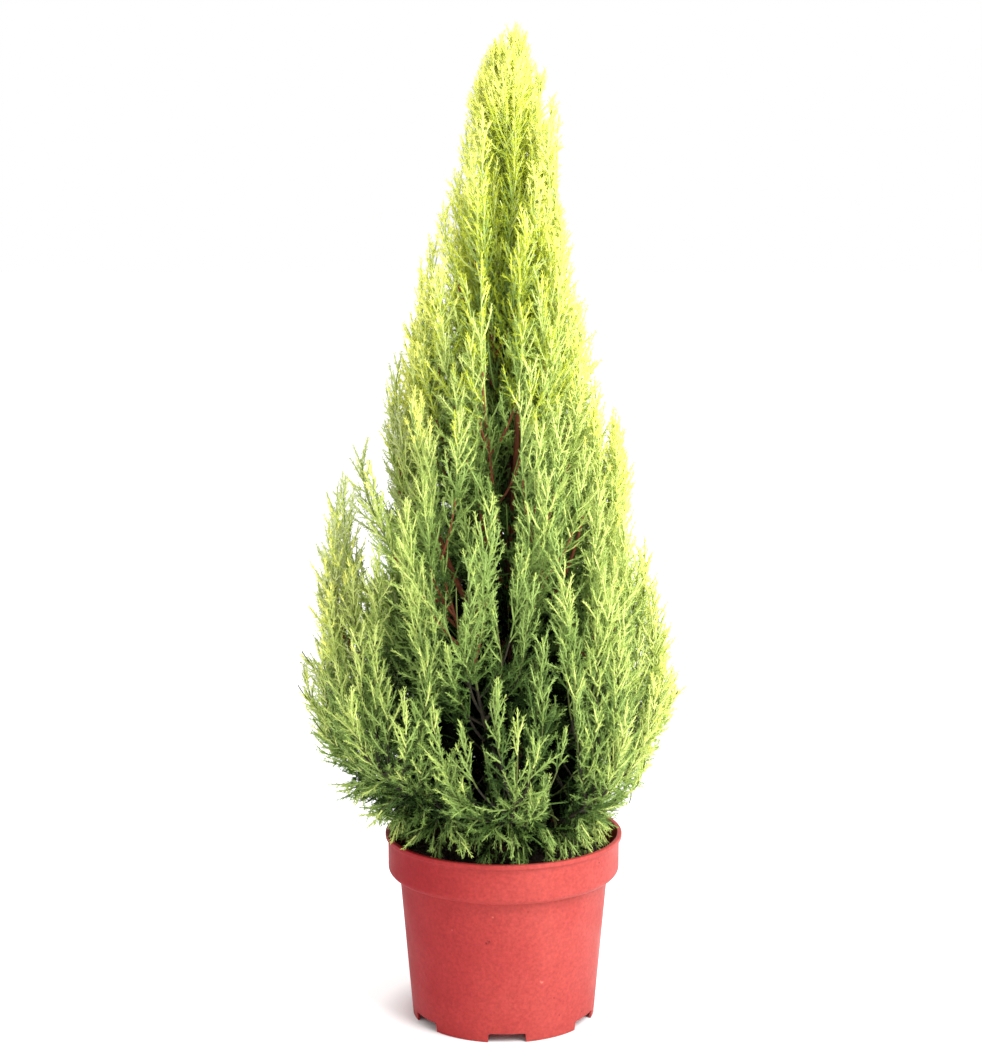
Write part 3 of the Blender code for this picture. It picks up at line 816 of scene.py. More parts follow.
# The trunk's rings lie closer together at the flare.
rise = TRUNK_TOP + TRUNK_SUNK - TRUNK_FOOT
heights = TRUNK_FOOT - TRUNK_SUNK + rise * np.linspace(0, 1, 150) ** 1.3
shape = bark_tube(sway(heights), trunk_radius(np.maximum(heights, TRUNK_FOOT)), 20, 31)
trunk = new_piece("trunk_bark", *shape, barks["bark"], "bark", True)
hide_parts("trunk")

# Each bough tapers evenly, with a collar that dies out at its foot.
share = np.linspace(0.0, 1.0, 26)
radii = (BOUGH_RADIUS + (BOUGH_TIP_RADIUS - BOUGH_RADIUS) * share) * (1 + 0.5 * np.exp(-share * 9))
lines = [along(bough, share)[0] for _, _, _, bough, _ in limbs]
parts = [bark_tube(line, radii, 12, 50 + index) for index, line in enumerate(lines)]
boughs = new_piece("bough_bark", *join(parts), barks["bark"], "bark", True)
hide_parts(*[f"bough_{name}" for name, *_ in limbs])

# %% [markdown]
# ## How a plume branches
#
# Three steps carry each plume from its stem to its needles. The stem gives off a few leaders
# that run beside it and end at different heights, which breaks up the crown's edge. Every leader
# is set with short shoots, a golden angle apart, that open wide at its foot and close up at its
# tip. Every shoot carries opposite pairs of branchlets, the next pair turned a quarter, and those
# are the leafy twigs that show.
#
# A leader is a line, the radius at its foot, the share of it that bears no shoots, and its kind:
# 0 to 4 for a limb's tier, 5 for the tree's own leader, 6 for the inner twigs, 7 for the sprays
# over the rim and 8 for the strays. From here on all chance comes from one seeded generator.

# %% Leaders of the plumes
GOLDEN = math.radians(137.5)
LEADER_COUNTS = (3, 4, 4, 3, 3, 7)
TOP, INNER, RIM, STRAY = 5, 6, 7, 8
CROWN_MARGIN = 0.97
# Radius at the foot and bare share: beside a stem, to the surface, from the trunk, inside,
# over the rim, and in a stray.
BESIDE, SURFACE, FROM_TRUNK = (0.0014, 0.10), (0.0012, 0.12), (0.0014, 0.12)
INSIDE, OVER_RIM, IN_STRAY = (0.0012, 0.10), (0.0010, 0.28), (0.0010, 0.25)
draw = np.random.default_rng(SEED)


def keep_inside(points):
    """The points, moved in where they would reach past just inside the crown's outline."""
    radius, bearing, height = cylinder(points)
    limit = crown_reach(height, bearing) * CROWN_MARGIN
    moved = points.copy()
    moved[..., :2] *= np.minimum(1.0, limit / np.maximum(radius, 1e-6))[..., None]
    return moved


def waver(path):
    """A path with a small sideways sine wave that grows towards its tip."""
    t = np.linspace(0.0, 1.0, len(path))[:, None]
    side = polar(1.0, draw.uniform(0, 2 * np.pi), 0.0)
    wave = np.sin(2 * np.pi * (draw.uniform(0.9, 1.6) * t + draw.uniform(0, 1)))
    return path + draw.uniform(0.0010, 0.0030) * t * wave * side


def plume_leaders(line, half_width, kind):
    """The plume's stem, and side leaders that bend away from it by up to its half width."""
    found = [(line, BOUGH_TIP_RADIUS, 0.02, kind)]
    turn = draw.uniform(0, 2 * np.pi)
    count = LEADER_COUNTS[kind]
    for index in range(count):
        turn += GOLDEN
        start = 0.02 + 0.56 * index / count + draw.uniform(-0.02, 0.02)
        end = min(1.0, start + draw.uniform(0.34, 0.60))
        (foot, tip), ways = along(line, np.array((start, end)))
        radial = unit(np.array((foot[0], foot[1], 0.0)) + 1e-6)
        across = np.array((-radial[1], radial[0], 0.0))
        upward = np.cross(ways[1], across)
        spread = half_width * draw.uniform(0.55, 1.0) * (1.0 - 0.6 * end**3)
        outward = spread * (math.cos(turn) * across + 0.7 * math.sin(turn) * upward)
        bend = along(line, np.array([start + 0.3 * (end - start)]))[0][0] + 0.95 * outward
        path = keep_inside(waver(bend_line(foot, bend, tip + outward, 14)))
        found.append((path, *BESIDE, kind))
    return found


leaders = []
for _, tier, half_width, _, plume in limbs:
    leaders += plume_leaders(plume, half_width, tier)
leaders += plume_leaders(leader_line, LEADER_HALF_WIDTH, TOP)
print(len(leaders), "leaders in the plumes")

# %% [markdown]
# ## Twigs that fill the crown's surface
#
# The leaders alone would leave bare patches. So more twigs end all over the crown: their tips'
# heights follow the running sum of its girth, so that each has the same share of the surface,
# and their bearings go round by the golden angle. A few more tips have places of their own, each
# a bearing in degrees, a height, and a share of the crown's reach.

# %% Tips on the surface
SURFACE_TIPS = 250
EXTRA_TIPS = (
    (118, 0.27, 0.9), (128, 0.33, 0.92), (138, 0.24, 0.9), (122, 0.4, 0.9),
    (134, 0.42, 0.9), (145, 0.31, 0.86), (112, 0.35, 0.86), (126, 0.47, 0.9),
    (180, 0.893, 0.7), (200, 0.885, 0.85), (355, 0.888, 0.75), (265, 0.893, 0.8),
    (222, 0.38, 0.9), (236, 0.42, 0.88), (229, 0.33, 0.88), (0, 0.838, 0.9),
    (-12, 0.815, 0.85), (250, 0.27, 0.9), (247, 0.32, 0.88), (253, 0.235, 0.9),
    (291, 0.3, 0.88), (296, 0.35, 0.88), (287, 0.25, 0.9), (284, 0.34, 0.86),
    (158, 0.34, 0.78), (166, 0.3, 0.74), (150, 0.37, 0.72), (141, 0.39, 0.84),
    (147, 0.33, 0.8), (188, 0.215, 0.84), (200, 0.222, 0.86), (174, 0.225, 0.84),
    (180, 0.208, 0.8), (193, 0.205, 0.8), (167, 0.206, 0.8), (293, 0.39, 0.86),
    (186, 0.198, 0.88), (199, 0.202, 0.9), (210, 0.21, 0.9), (176, 0.2, 0.84),
    (160, 0.212, 0.86), (20, 0.824, 0.66), (-25, 0.816, 0.7), (60, 0.838, 0.75),
    (90, 0.88, 0.7), (300, 0.868, 0.75), (45, 0.872, 0.75), (150, 0.866, 0.75),
    (230, 0.858, 0.78), (30, 0.85, 0.7), (120, 0.846, 0.75), (270, 0.848, 0.6),
    (133, 0.36, 0.74), (126, 0.335, 0.7), (148, 0.355, 0.86), (50, 0.445, 0.8),
    (44, 0.47, 0.78), (35, 0.43, 0.7), (116, 0.445, 0.72), (108, 0.47, 0.7),
    (138, 0.4, 0.7), (152, 0.385, 0.85), (146, 0.345, 0.66), (0, 0.554, 0.98),
    (9, 0.546, 0.96), (-9, 0.54, 0.97), (180, 0.606, 0.99),
)

levels = np.linspace(0.205, 0.885, 200)
girth = np.cumsum(crown_reach(levels, math.pi / 2) + 0.030)
order = np.arange(SURFACE_TIPS)
height = np.interp((order + 0.5) / SURFACE_TIPS, girth / girth[-1], levels)
bearing = order * GOLDEN + draw.uniform(-0.2, 0.2, SURFACE_TIPS)
share = draw.uniform(0.84, 1.0, SURFACE_TIPS)
extra = np.array(EXTRA_TIPS)
bearing = np.concatenate([bearing, np.radians(extra[:, 0])])
height = np.concatenate([height, extra[:, 1]])
share = np.concatenate([share, extra[:, 2]])
tips = around(crown_reach(height, bearing) * share, bearing, height)
print(len(tips), "tips on the crown's surface")

# %% [markdown]
# Each of these twigs starts at the place on a limb or the leader with the least sideways distance
# to its tip, plus a part of its miss of the usual rise, and never further out than the tip.

# %% Surface twigs
TIP_RISE = 0.125
SURFACE_BEND = (1.0, 1.0, 0.30)

shares = np.linspace(0.12, 0.9, 24)
whole_limbs = [(tier, np.concatenate([bough, plume])) for _, tier, _, bough, plume in limbs]
lines = [along(line, shares)[0] for _, line in whole_limbs]
lines.append(sway(np.linspace(TRUNK_TOP - 0.1, LEADER_TIP - 0.03, 30)))
kinds = [tier for tier, _ in whole_limbs] + [TOP]
kinds = np.repeat(kinds, [len(line) for line in lines])
feet = np.concatenate(lines)
apart = tips[:, None] - feet
side = cylinder(apart)[0]
rise = TIP_RISE * np.clip((0.97 - tips[:, 2:]) / 0.25, 0.45, 1.0)
outside = cylinder(feet)[0] > cylinder(tips)[0][:, None]
nearest = np.argmin(side + 0.8 * np.abs(apart[..., 2] - rise) + outside, axis=1)
for tip, start, kind in zip(tips, feet[nearest], kinds[nearest]):
    path = keep_inside(waver(arched(start, tip, SURFACE_BEND)))
    leaders.append((path, *SURFACE, int(kind)))
print(len(leaders), "leaders and twigs so far")

# %% [markdown]
# ## Twigs that close the middle
#
# Short leafy twigs grow straight from the trunk and from the bare boughs. More of them stand
# close round the trunk, most of all behind it, so that no sky shows through the plant.

# %% Inner twigs
BACKING = 165
INNER_BEND = (0.8, 0.8, 0.3)
low_limbs = [(tier, line) for tier, line in whole_limbs if tier < 2]


def trunk_twig(height, bearing, rise, share, build):
    """A twig from the trunk that rises so far, out to a share of the crown's reach."""
    reach = crown_reach(height + rise, bearing) * share
    line = arched(sway(height), polar(reach, bearing, height + rise), INNER_BEND)
    return line, *build, INNER


# All the way up the trunk, closer together in its lowest part.
levels = np.concatenate([np.arange(0.172, 0.36, 0.0052), np.arange(0.36, 0.66, 0.0080)])
for index, height in enumerate(levels):
    bearing = index * GOLDEN + draw.uniform(-0.3, 0.3)
    rise, share = draw.uniform(0.03, 0.09), draw.uniform(0.40, 0.80)
    leaders.append(trunk_twig(height, bearing, rise, share, FROM_TRUNK))

# Two on each low bough, one to either side.
for _, line in low_limbs:
    (start, end), ways = along(line, np.array((0.10, 0.42)))
    for side in (-1, 1):
        across = np.cross(ways[0], (0.0, 0.0, 1.0)) * side * draw.uniform(0.020, 0.034)
        tip = end + across
        path = bend_line(start, start + 0.5 * (tip - start) + 0.6 * across, tip, 14)
        leaders.append((path, *INSIDE, INNER))

# Close round the trunk, every other one of them longer and behind it.
for index in range(BACKING):
    behind = index % 2 == 0
    bearing = draw.uniform(-0.25, math.pi + 0.25) if behind else index * GOLDEN
    rise = draw.uniform(0.02, 0.06)
    share = draw.uniform(0.35, 0.75) if behind else draw.uniform(0.16, 0.36)
    height = 0.185 + 0.46 * index / BACKING
    leaders.append(trunk_twig(height, bearing, rise, share, INSIDE))
print(len(leaders), "leaders and twigs so far")

# %% [markdown]
# ## Clefts, sky gaps and bare stems
#
# Seen from the front, dark clefts run up between the plumes, the sky shows through two small
# gaps, and a few reddish stems stand bare. Each is a band in the upright plane through the
# trunk: the x and z of its two ends, and its half width. Twigs that would close it are left out.

# %% Bands kept open
CLEFTS = (
    (-0.009, 0.739, -0.009, 0.783, 0.0050),
    (0.000, 0.765, 0.008, 0.742, 0.0040),
    (-0.023, 0.660, -0.033, 0.706, 0.0045),
    (-0.009, 0.568, -0.011, 0.641, 0.0060),
    (0.004, 0.449, 0.001, 0.532, 0.0065),
    (-0.048, 0.356, -0.038, 0.416, 0.0060),
    (0.002, 0.337, 0.000, 0.426, 0.0058),
    (-0.022, 0.204, -0.026, 0.309, 0.0065),
    (0.046, 0.180, 0.049, 0.228, 0.0056),
    (0.065, 0.228, 0.059, 0.309, 0.0038),
)
SKY = ((0.0365, 0.830, 0.0370, 0.850, 0.0036), (-0.110, 0.500, -0.118, 0.545, 0.0050))
# Each row: the height of the foot on the trunk, the bend, the tip, the radius, and the tier.
STEMS = (
    (0.345, (-0.060, -0.045, 0.400), (-0.083, -0.072, 0.590), 0.0038, 2),
    (0.440, (0.013, -0.030, 0.490), (0.013, -0.050, 0.715), 0.0042, 3),
    (0.400, (-0.024, -0.035, 0.430), (-0.026, -0.060, 0.560), 0.0024, 2),
    (0.410, (0.030, -0.040, 0.430), (0.034, -0.070, 0.600), 0.0024, 2),
    (0.360, (0.075, -0.030, 0.400), (0.080, -0.050, 0.570), 0.0026, 2),
    (0.190, (0.010, -0.020, 0.215), (0.030, -0.090, 0.360), 0.0028, 0),
)
STEM_BARE = 0.58
CLEFT_DEPTH = ((0.50, 0.78), (0.035, 0.016))


def seen_from_front(points):
    """Where the sight line from the front to each point meets the trunk's upright plane: the
    eye plus the offset times the eye's distance over the point's distance."""
    share = EYE[1] / (EYE[1] - points[..., 1:2])
    return EYE + (points - EYE) * share


def in_any(points, bands, margin=0.0):
    """True where points, seen from the front, lie in one of the bands: nearer to its line than
    its half width and a margin."""
    seen = seen_from_front(points)[..., [0, 2]]
    found = np.zeros(points.shape[:-1], bool)
    for x0, z0, x1, z1, half in bands:
        way = np.array((x1 - x0, z1 - z0))
        start = np.array((x0, z0))
        share = np.clip((seen - start) @ way / (way @ way), 0, 1)
        found |= np.linalg.norm(seen - start - share[..., None] * way, axis=-1) < half + margin
    return found


def in_cleft(points, margin=0.0):
    """True where points lie in front of the trunk in a cleft, less deep towards the top."""
    depth = np.interp(points[..., 2], *CLEFT_DEPTH)
    return in_any(points, CLEFTS, margin) & (points[..., 1] < -depth)


stems, bare = [], []
for height, bend, tip, radius, tier in STEMS:
    line = bend_line(sway(height), np.array(bend), np.array(tip), 24)
    (x0, _, z0), (x1, _, z1) = seen_from_front(line[[10, 14]])
    stems.append((line, radius, STEM_BARE, tier))
    bare.append((x0, z0, x1, z1, radius * 0.8))
print(len(CLEFTS), "clefts,", len(SKY), "sky gaps and", len(bare), "bare stems")


# %% Twigs that stand clear of them
def stands_clear(leader):
    """False for a twig that would run up inside a cleft, lie across the front of the top, cross
    a bare stem or cross a sky gap."""
    line, _, _, kind = leader
    outer = line[4:]
    margin, most = (0.0, 0.40) if line[-1, 2] < 0.72 else (0.003, 0.20)
    if kind < INNER and in_cleft(outer, margin).mean() > most:
        return False
    sideways = abs(line[-1, 0] - line[0, 0]) > 0.45 * (line[-1, 2] - line[0, 2])
    if line[0, 2] > 0.70 and line[0, 1] < -0.015 and sideways:
        return False
    if (in_any(outer, bare) & (outer[:, 1] < -0.030)).mean() > 0.15:
        return False
    return not in_any(outer, SKY).any()


planned = len(leaders)
leaders = [leader for leader in leaders if stands_clear(leader)]
print(planned - len(leaders), "of", planned, "left out")

# %% [markdown]
# ## Sprays over the rim, and strays
#
# The two lowest tiers let sprays droop over the soil as far as the rim, and a few longer sprigs
# stand out of the crown's outline low on both sides.

# %% Rim sprays and strays
STRAYS = ((356, 0.312, 0.161), (184, 0.318, 0.190), (187, 0.352, 0.186), (199, 0.298, 0.182))
STRAY_BEND = (0.72, 0.72, 0.30)

# Fans of eight or five sprays along each low bough, shorter on the right.
for tier, line in low_limbs:
    count = 8 - 3 * tier
    for index in range(count):
        start = along(line, np.array([0.12 + 0.04 * index]))[0][0]
        bearing = math.atan2(start[1], start[0]) + (index - (count - 1) / 2) * 0.13
        bearing += draw.uniform(-0.15, 0.15)
        reach = draw.uniform(0.084, 0.113) - 0.016 * max(math.cos(bearing), 0.0) ** 4
        low = 0.178 if reach > 0.098 else 0.166
        tip = polar(reach, bearing, low + 0.034 * draw.uniform(0.0, 1.0) ** 1.6)
        bend = start + 0.65 * (tip - start) + np.array((0.0, 0.0, 0.020))
        leaders.append((bend_line(start, bend, tip, 14), *OVER_RIM, RIM))

# Each stray starts two thirds of the way out, 48 mm below its tip.
for turn, height, reach in STRAYS:
    tip = polar(reach, math.radians(turn), height)
    start = tip * np.array((0.68, 0.68, 1.0)) - np.array((0.0, 0.0, 0.048))
    leaders.append((arched(start, tip, STRAY_BEND), *IN_STRAY, STRAY))
leaders += stems
print(len(leaders), "leaders")

# %% [markdown]
# ## Shoots on the leaders
#
# Each kind of leader has its own pitch and length of shoots. A shoot that would leave the
# crown's room, enter the soil or the pot, or close a gap is shortened step by step, and what is
# still in the way or too short is dropped.

# %% Shoots
SHOOT_PITCHES = (0.0044, 0.0046, 0.0044, 0.0042, 0.0037, 0.0029, 0.0068, 0.0045, 0.0038)
SHOOT_LENGTHS = (0.030, 0.032, 0.032, 0.031, 0.029, 0.028, 0.043, 0.022, 0.016)
SHOOT_OPEN = 50.0
SHOOT_TIP_OPEN = 22.0
SHORTEST_SHOOT = 0.010
SHOOT_TAPER = ((0.0, 0.25, 0.6, 1.0), (0.75, 1.0, 0.88, 0.42))
CROWDED, CROWDED_FROM = 1.35, 0.84
POT_GAP, RIM_GAP, SOIL_GAP = 0.006, 0.0025, 0.0015
FRONT = -0.022
EDGE_SHARE, EDGE_SPARE = 1.03, 0.002
HIGHEST = 0.906
CONE_FROM, CONE_TIP, CONE_SLOPE, CONE_LEAST = 0.860, 0.914, 0.64, 0.0035
CONE_X, CONE_Y = 0.0085, 0.002


def shoots_on(line, first, kind):
    """The shoots of one leader: foot, start and end directions, length, share along the leader,
    kind and tone."""
    crowded = CROWDED if line[-1, 2] > CROWDED_FROM else 1.0
    count = max(4, int(crowded * length_of(line) * (1 - first) / SHOOT_PITCHES[kind]))
    share = first + (1 - first) * (np.arange(count) + draw.uniform(0.2, 0.8, count)) / count
    foot, forward = along(line, share)
    roll = np.arange(count) * GOLDEN + draw.uniform(0, 2 * np.pi) + draw.normal(0, 0.25, count)
    outward = aside(forward, roll)
    opening = SHOOT_OPEN + (SHOOT_TIP_OPEN - SHOOT_OPEN) * share + draw.normal(0, 6, count)
    opening = np.radians(opening * (0.8 if kind == TOP else 1.0))[:, None]
    start_way = forward * np.cos(opening) + outward * np.sin(opening)
    lift = np.array((0.0, 0.0, -0.25 if kind == RIM else 0.30))
    curl = draw.normal(0, 0.34 if kind < 2 else 0.25, (count, 3))
    end_way = unit(start_way + 0.7 * forward + lift + curl)
    taper = np.interp(share, *SHOOT_TAPER)
    length = SHOOT_LENGTHS[kind] * taper * draw.uniform(0.68, 1.15, count)
    tone = np.full(count, draw.normal(0, 0.05))
    return foot, start_way, end_way, length, share, np.full(count, kind), tone


def blocked(points):
    """True where a point would be in the pot's wall, beside the pot, or in the soil."""
    radius, _, height = cylinder(points)
    beside = (radius > COLLAR_RADIUS - POT_GAP) & (height < POT_HEIGHT + RIM_GAP)
    return beside | (height < SOIL_MIDDLE + SOIL_GAP)


def opened(points):
    """True where the foliage stands open: in the sky gaps, and in front of the trunk in the
    clefts and before the bare stems."""
    front = points[..., 1] < FRONT
    return in_any(points, SKY) | in_cleft(points) | (in_any(points, bare) & front)


def reaches_out(tip, kind):
    """True where a tip lies past the crown's outline, or out of the cone of the top. The
    outline is held in a little at the lower right, and the strays may pass it."""
    radius, bearing, height = cylinder(tip)
    to_right = np.clip(tip[:, 0] / np.maximum(radius, 0.01), 0, 1)
    held = 0.10 * to_right * np.interp(height, (0.225, 0.275), (1.0, 0.0))
    past_edge = radius > crown_reach(height, bearing) * (EDGE_SHARE - held) + EDGE_SPARE
    cone = CONE_LEAST + CONE_SLOPE * (CONE_TIP - height)
    past_top = np.hypot(tip[:, 0] - CONE_X, tip[:, 1] - CONE_Y) > cone
    return past_edge & (kind != STRAY) | (height > HIGHEST) | past_top & (height > CONE_FROM)


parts = [shoots_on(line, first, kind) for line, _, first, kind in leaders]
columns = [np.concatenate(column) for column in zip(*parts)]
foot, start_way, end_way, length, _, kind, _ = columns
for _ in range(5):
    tip = foot + length[:, None] * (start_way + end_way) / 2
    low = blocked(tip) | blocked(foot + 0.5 * (tip - foot))
    length = np.where(reaches_out(tip, kind) | low | opened(tip), length * 0.75, length)
columns[3] = length
keep = (length > SHORTEST_SHOOT) & ~low & ~blocked(foot) & ~opened(foot + 0.3 * (tip - foot))
columns = [column[keep] for column in columns]
foot, start_way, end_way, shoot_length, leader_share, shoot_kind, shoot_tone = columns
print(len(foot), "shoots")


# %% Points on the shoots
def shoot_points(t, pick):
    """Points and directions on shoots: the foot plus the length times (t start + t^2/2 turn)."""
    start, turn, t = start_way[pick], end_way[pick] - start_way[pick], t[..., None]
    points = foot[pick] + shoot_length[pick][..., None] * (t * start + t**2 / 2 * turn)
    return points, unit(start + t * turn)


shoot_tips = shoot_points(np.ones(len(foot)), np.arange(len(foot)))[0]
print("the highest shoot ends at", shoot_tips[:, 2].max().round(3), "m")

# %% [markdown]
# ## Tints by place
#
# A lemon cypress is yellow where the sun reaches it and green inside. So each shoot gets a value
# that grows with its height, with how near it lies to the crown's edge, and towards the tip of
# its leader, and its branchlets are a little paler at the shoot's end. The value is partly the
# plant's own colour and partly painted light and shade: brighter at the top, at the crown's edge
# and on both sides, and nearly black deep inside. It picks a step of the ladder of tints. Some
# sprays at the back on the left take a dull pale tint instead, painted light, and towards the top
# more and more take the warm one.

# %% Tint values
TINT_BY_HEIGHT = (
    (0.18, 0.26, 0.34, 0.41, 0.48, 0.56, 0.70, 0.80, 0.86, 0.90),
    (-0.02, 0.05, 0.14, 0.20, 0.26, 0.34, 0.42, 0.52, 0.74, 0.93),
)
# Painted light on the left side of the crown: how much paler it gets there, by height.
PAINTED_LIGHT_LEFT = (
    (0.24, 0.33, 0.38, 0.42, 0.47, 0.52, 0.60, 0.67),
    (0.12, 0.15, 0.38, 0.54, 0.36, 0.50, 0.42, 0.28),
)
MOST_TINT = ((0.20, 0.50, 0.72, 0.84), (0.52, 0.54, 0.72, 1.0))


def tint_value():
    """A value of 0 to 1 for each shoot, by height, nearness to the edge, side and chance: partly
    the leaves' own colour and partly painted light and shade. What passes the most for its height
    counts less than half."""
    middle = foot + shoot_length[:, None] * start_way * 0.6
    radius, bearing, height = cylinder(middle)
    reach = crown_reach(height, bearing)
    edge = np.clip(radius / reach, 0, 1.1)
    side = middle[:, 0] / np.maximum(reach, 0.02)
    rise = np.interp(height, (0.34, 0.48), (0.0, 1.0))
    value = np.interp(height, *TINT_BY_HEIGHT)
    # Painted shade: shoots deep inside the crown are darker, and those at its edge paler.
    value += (0.38 - 0.13 * rise) * edge ** (3 - rise) + 0.04 * rise + 0.14 * leader_share
    # Painted light: the shoots grow paler towards both sides of the crown.
    paler = np.where(side > 0, 0.34 + 0.06 * rise, np.interp(height, *PAINTED_LIGHT_LEFT))
    value += paler * side**2
    # Painted light and shade low in the crown: paler at the leaders' tips, darker at their feet.
    value += np.interp(height, (0.30, 0.42), (0.26, 0.0)) * (leader_share - 0.55)
    value += shoot_tone + draw.normal(0, 0.05, len(foot))
    # Painted shade: the inner twigs are darker low down.
    inner = np.interp(height, (0.38, 0.50), (-0.10, 0.03))
    value += np.select([shoot_kind == INNER, shoot_kind == RIM], [inner, 0.04], 0.0)
    most = np.interp(height, *MOST_TINT) + 0.3 * side**2
    value -= 0.6 * np.maximum(value - most, 0.0)
    return np.clip(value, 0, 1)


shoot_tint = tint_value()
# Painted light: some sprays at the back on the left take a dull pale tint.
painted_haze = (foot[:, 0] < -0.085) & (foot[:, 1] > -0.05) & (foot[:, 2] > 0.30)
painted_haze &= draw.uniform(0, 1, len(foot)) < np.interp(foot[:, 1], (0.02, 0.09), (0.65, 0.0))
warm = draw.uniform(0, 1, len(foot)) < np.clip((foot[:, 2] - 0.52) / 0.20, 0, 0.95)
print("tint values", np.percentile(shoot_tint, (5, 50, 95)).round(2))

# %% [markdown]
# ## The branchlet
#
# A branchlet is a slim tapering twig set with opposite pairs of awl-shaped leaves. Three sizes
# are modelled once, with 11 to 19 faces, and stamped on every shoot by matrix arithmetic.

# %% Branchlet shapes
NEEDLE_LENGTH = 0.0042
NEEDLE_WIDTH = 0.0015
NEEDLE_ANGLE = math.radians(30)
CORE_RADIUS = 0.0008
BRANCHLET_CURVE = 17.0
SIZES = ((0.0060, 2), (0.0090, 3), (0.0120, 4))


def needle(x, length, turn):
    """A keeled leaf: two corners at its root, a keel and a point, and its two triangles."""
    thick = CORE_RADIUS * (1 - x / length)
    size = NEEDLE_LENGTH * (1 - 0.35 * x / length)
    out = np.array((0.0, math.cos(turn), math.sin(turn)))
    way = np.array((math.cos(NEEDLE_ANGLE), 0, 0)) + math.sin(NEEDLE_ANGLE) * out
    flat = np.cross(way, out)
    flat /= np.linalg.norm(flat)
    root = np.array((x, 0.0, 0.0)) + out * thick * 0.6
    corners = [root + flat * NEEDLE_WIDTH / 2, root - flat * NEEDLE_WIDTH / 2]
    points = np.array(corners + [root + way * size * 0.35 + out * 0.0004, root + way * size])
    faces = []
    for face in ((0, 2, 3), (2, 1, 3)):
        a, b, c = points[list(face)]
        faces.append(face if np.cross(b - a, c - a) @ out > 0 else face[::-1])
    return points, np.array(faces)


def branchlet(length, pairs):
    """A cone along X with pairs of keeled leaves; it bends towards Z by a square law."""
    angle = np.arange(3) * 2 * np.pi / 3
    core = np.stack([0 * angle, CORE_RADIUS * np.cos(angle), CORE_RADIUS * np.sin(angle)], -1)
    cone = np.concatenate([core, [(length, 0.0, 0.0)]])
    parts = [(cone, np.array(((0, 1, 3), (1, 2, 3), (2, 0, 3))))]
    for pair in range(pairs):
        x = length * (pair + 0.35) / (pairs + 0.25)
        for side in (0.0, math.pi):
            parts.append(needle(x, length, side + math.pi / 2 * (pair % 2) + 0.4))
    points, faces = join(parts)
    points[:, 2] += BRANCHLET_CURVE * points[:, 0] ** 2
    return points, faces


SHAPES = [branchlet(*size) for size in SIZES]
print("branchlet faces", [len(faces) for _, faces in SHAPES])

# %% [markdown]
# ## Branchlets on every shoot
#
# The branchlets stand in opposite pairs, each pair turned a quarter from the one before, and the
# last one carries the shoot on. They open less and get shorter towards the shoot's tip. On the
# inner shoots there are fewer, and they are larger.

# %% Branchlet places
BRANCHLET_PITCH = 0.0033
BRANCHLET_LENGTH = 0.0130
LAST_LENGTH = 0.0105
BRANCHLET_OPEN = 52.0
OPEN_FALL, LENGTH_FALL = 0.40, 0.60
INNER_SCALE = 1.7

coarse = np.where(shoot_kind == INNER, INNER_SCALE, 1.0)
count = np.maximum(3, (shoot_length / BRANCHLET_PITCH / coarse).astype(int))
pick = np.repeat(np.arange(len(foot)), count)
order = np.arange(len(pick)) - np.repeat(np.cumsum(count) - count, count)
last = order == count[pick] - 1
pair = order // 2
t = np.where(last, 0.97, np.clip((pair * 2 + 1.6) / count[pick], 0.04, 1.0))
place, way = shoot_points(t, pick)
roll = (order % 2) * np.pi + (pair % 2) * np.pi / 2 + draw.normal(0, 0.25, len(pick))
roll += draw.uniform(0, 2 * np.pi, len(foot))[pick]
outward = aside(way, roll)
opening = np.radians(BRANCHLET_OPEN * (1 - OPEN_FALL * t) + draw.normal(0, 10, len(pick)))
opening = np.where(last, 0.06, opening)[:, None]
x_axis = way * np.cos(opening) + outward * np.sin(opening)
z_axis = np.cross(x_axis, unit(np.cross(x_axis, outward)))
z_axis *= np.sign((z_axis * way).sum(-1, keepdims=True) + 1e-9)
axes = (x_axis, np.cross(z_axis, x_axis), z_axis)
print(len(place), "branchlets,", np.mean(count).round(1), "on a shoot")

# %% Branchlet lengths and tints
WARM_FIRST, WARM_LAST = 2, 6

length = BRANCHLET_LENGTH * (1 - LENGTH_FALL * t) * draw.uniform(0.72, 1.15, len(pick))
length = np.where(last, LAST_LENGTH, length) * np.clip(shoot_length / 0.032, 0.7, 1.1)[pick]
length *= coarse[pick]
value = shoot_tint[pick] + 0.12 * (t - 0.40) + draw.normal(0, 0.025, len(pick))
tint = np.clip((value * LADDER).astype(int), 0, LADDER - 1)
# Painted light: those sprays take the two pale tints after the ladder.
tint = np.where(painted_haze[pick], np.where(value < 0.5, LADDER, LADDER + 1), tint)
warmed = warm[pick] & (tint >= WARM_FIRST) & (tint <= WARM_LAST)
tint = np.where(warmed, tint + LADDER, tint)
end = place + x_axis * length[:, None]
middle = place + 0.5 * (end - place)
clear = ~(blocked(end) | blocked(middle) | blocked(place) | opened(middle))
print(clear.sum(), "branchlets have room, by tint", np.bincount(tint[clear]))

# %% [markdown]
# ## The foliage
#
# All branchlets of one tint are one piece. Each takes the shape of about its own length, and
# the two darkest tints take only the two shorter ones.

# %% Foliage
SIZE_STEPS = (0.0074, 0.0108)
plume_nodes = [f"plume_{name}" for name, *_ in limbs] + ["plume_leader"]


def stamp(shape, place, axes, scale):
    """Copies of a shape: each point is the place plus scale times its x, y, z on the axes."""
    points, faces = shape
    moved = sum(points[None, :, k, None] * axes[k][:, None, :] for k in range(3))
    moved = place[:, None] + scale[:, None, None] * moved
    numbers = faces[None] + (np.arange(len(place)) * len(points))[:, None, None]
    return moved.reshape(-1, 3), numbers.reshape(-1, 3)


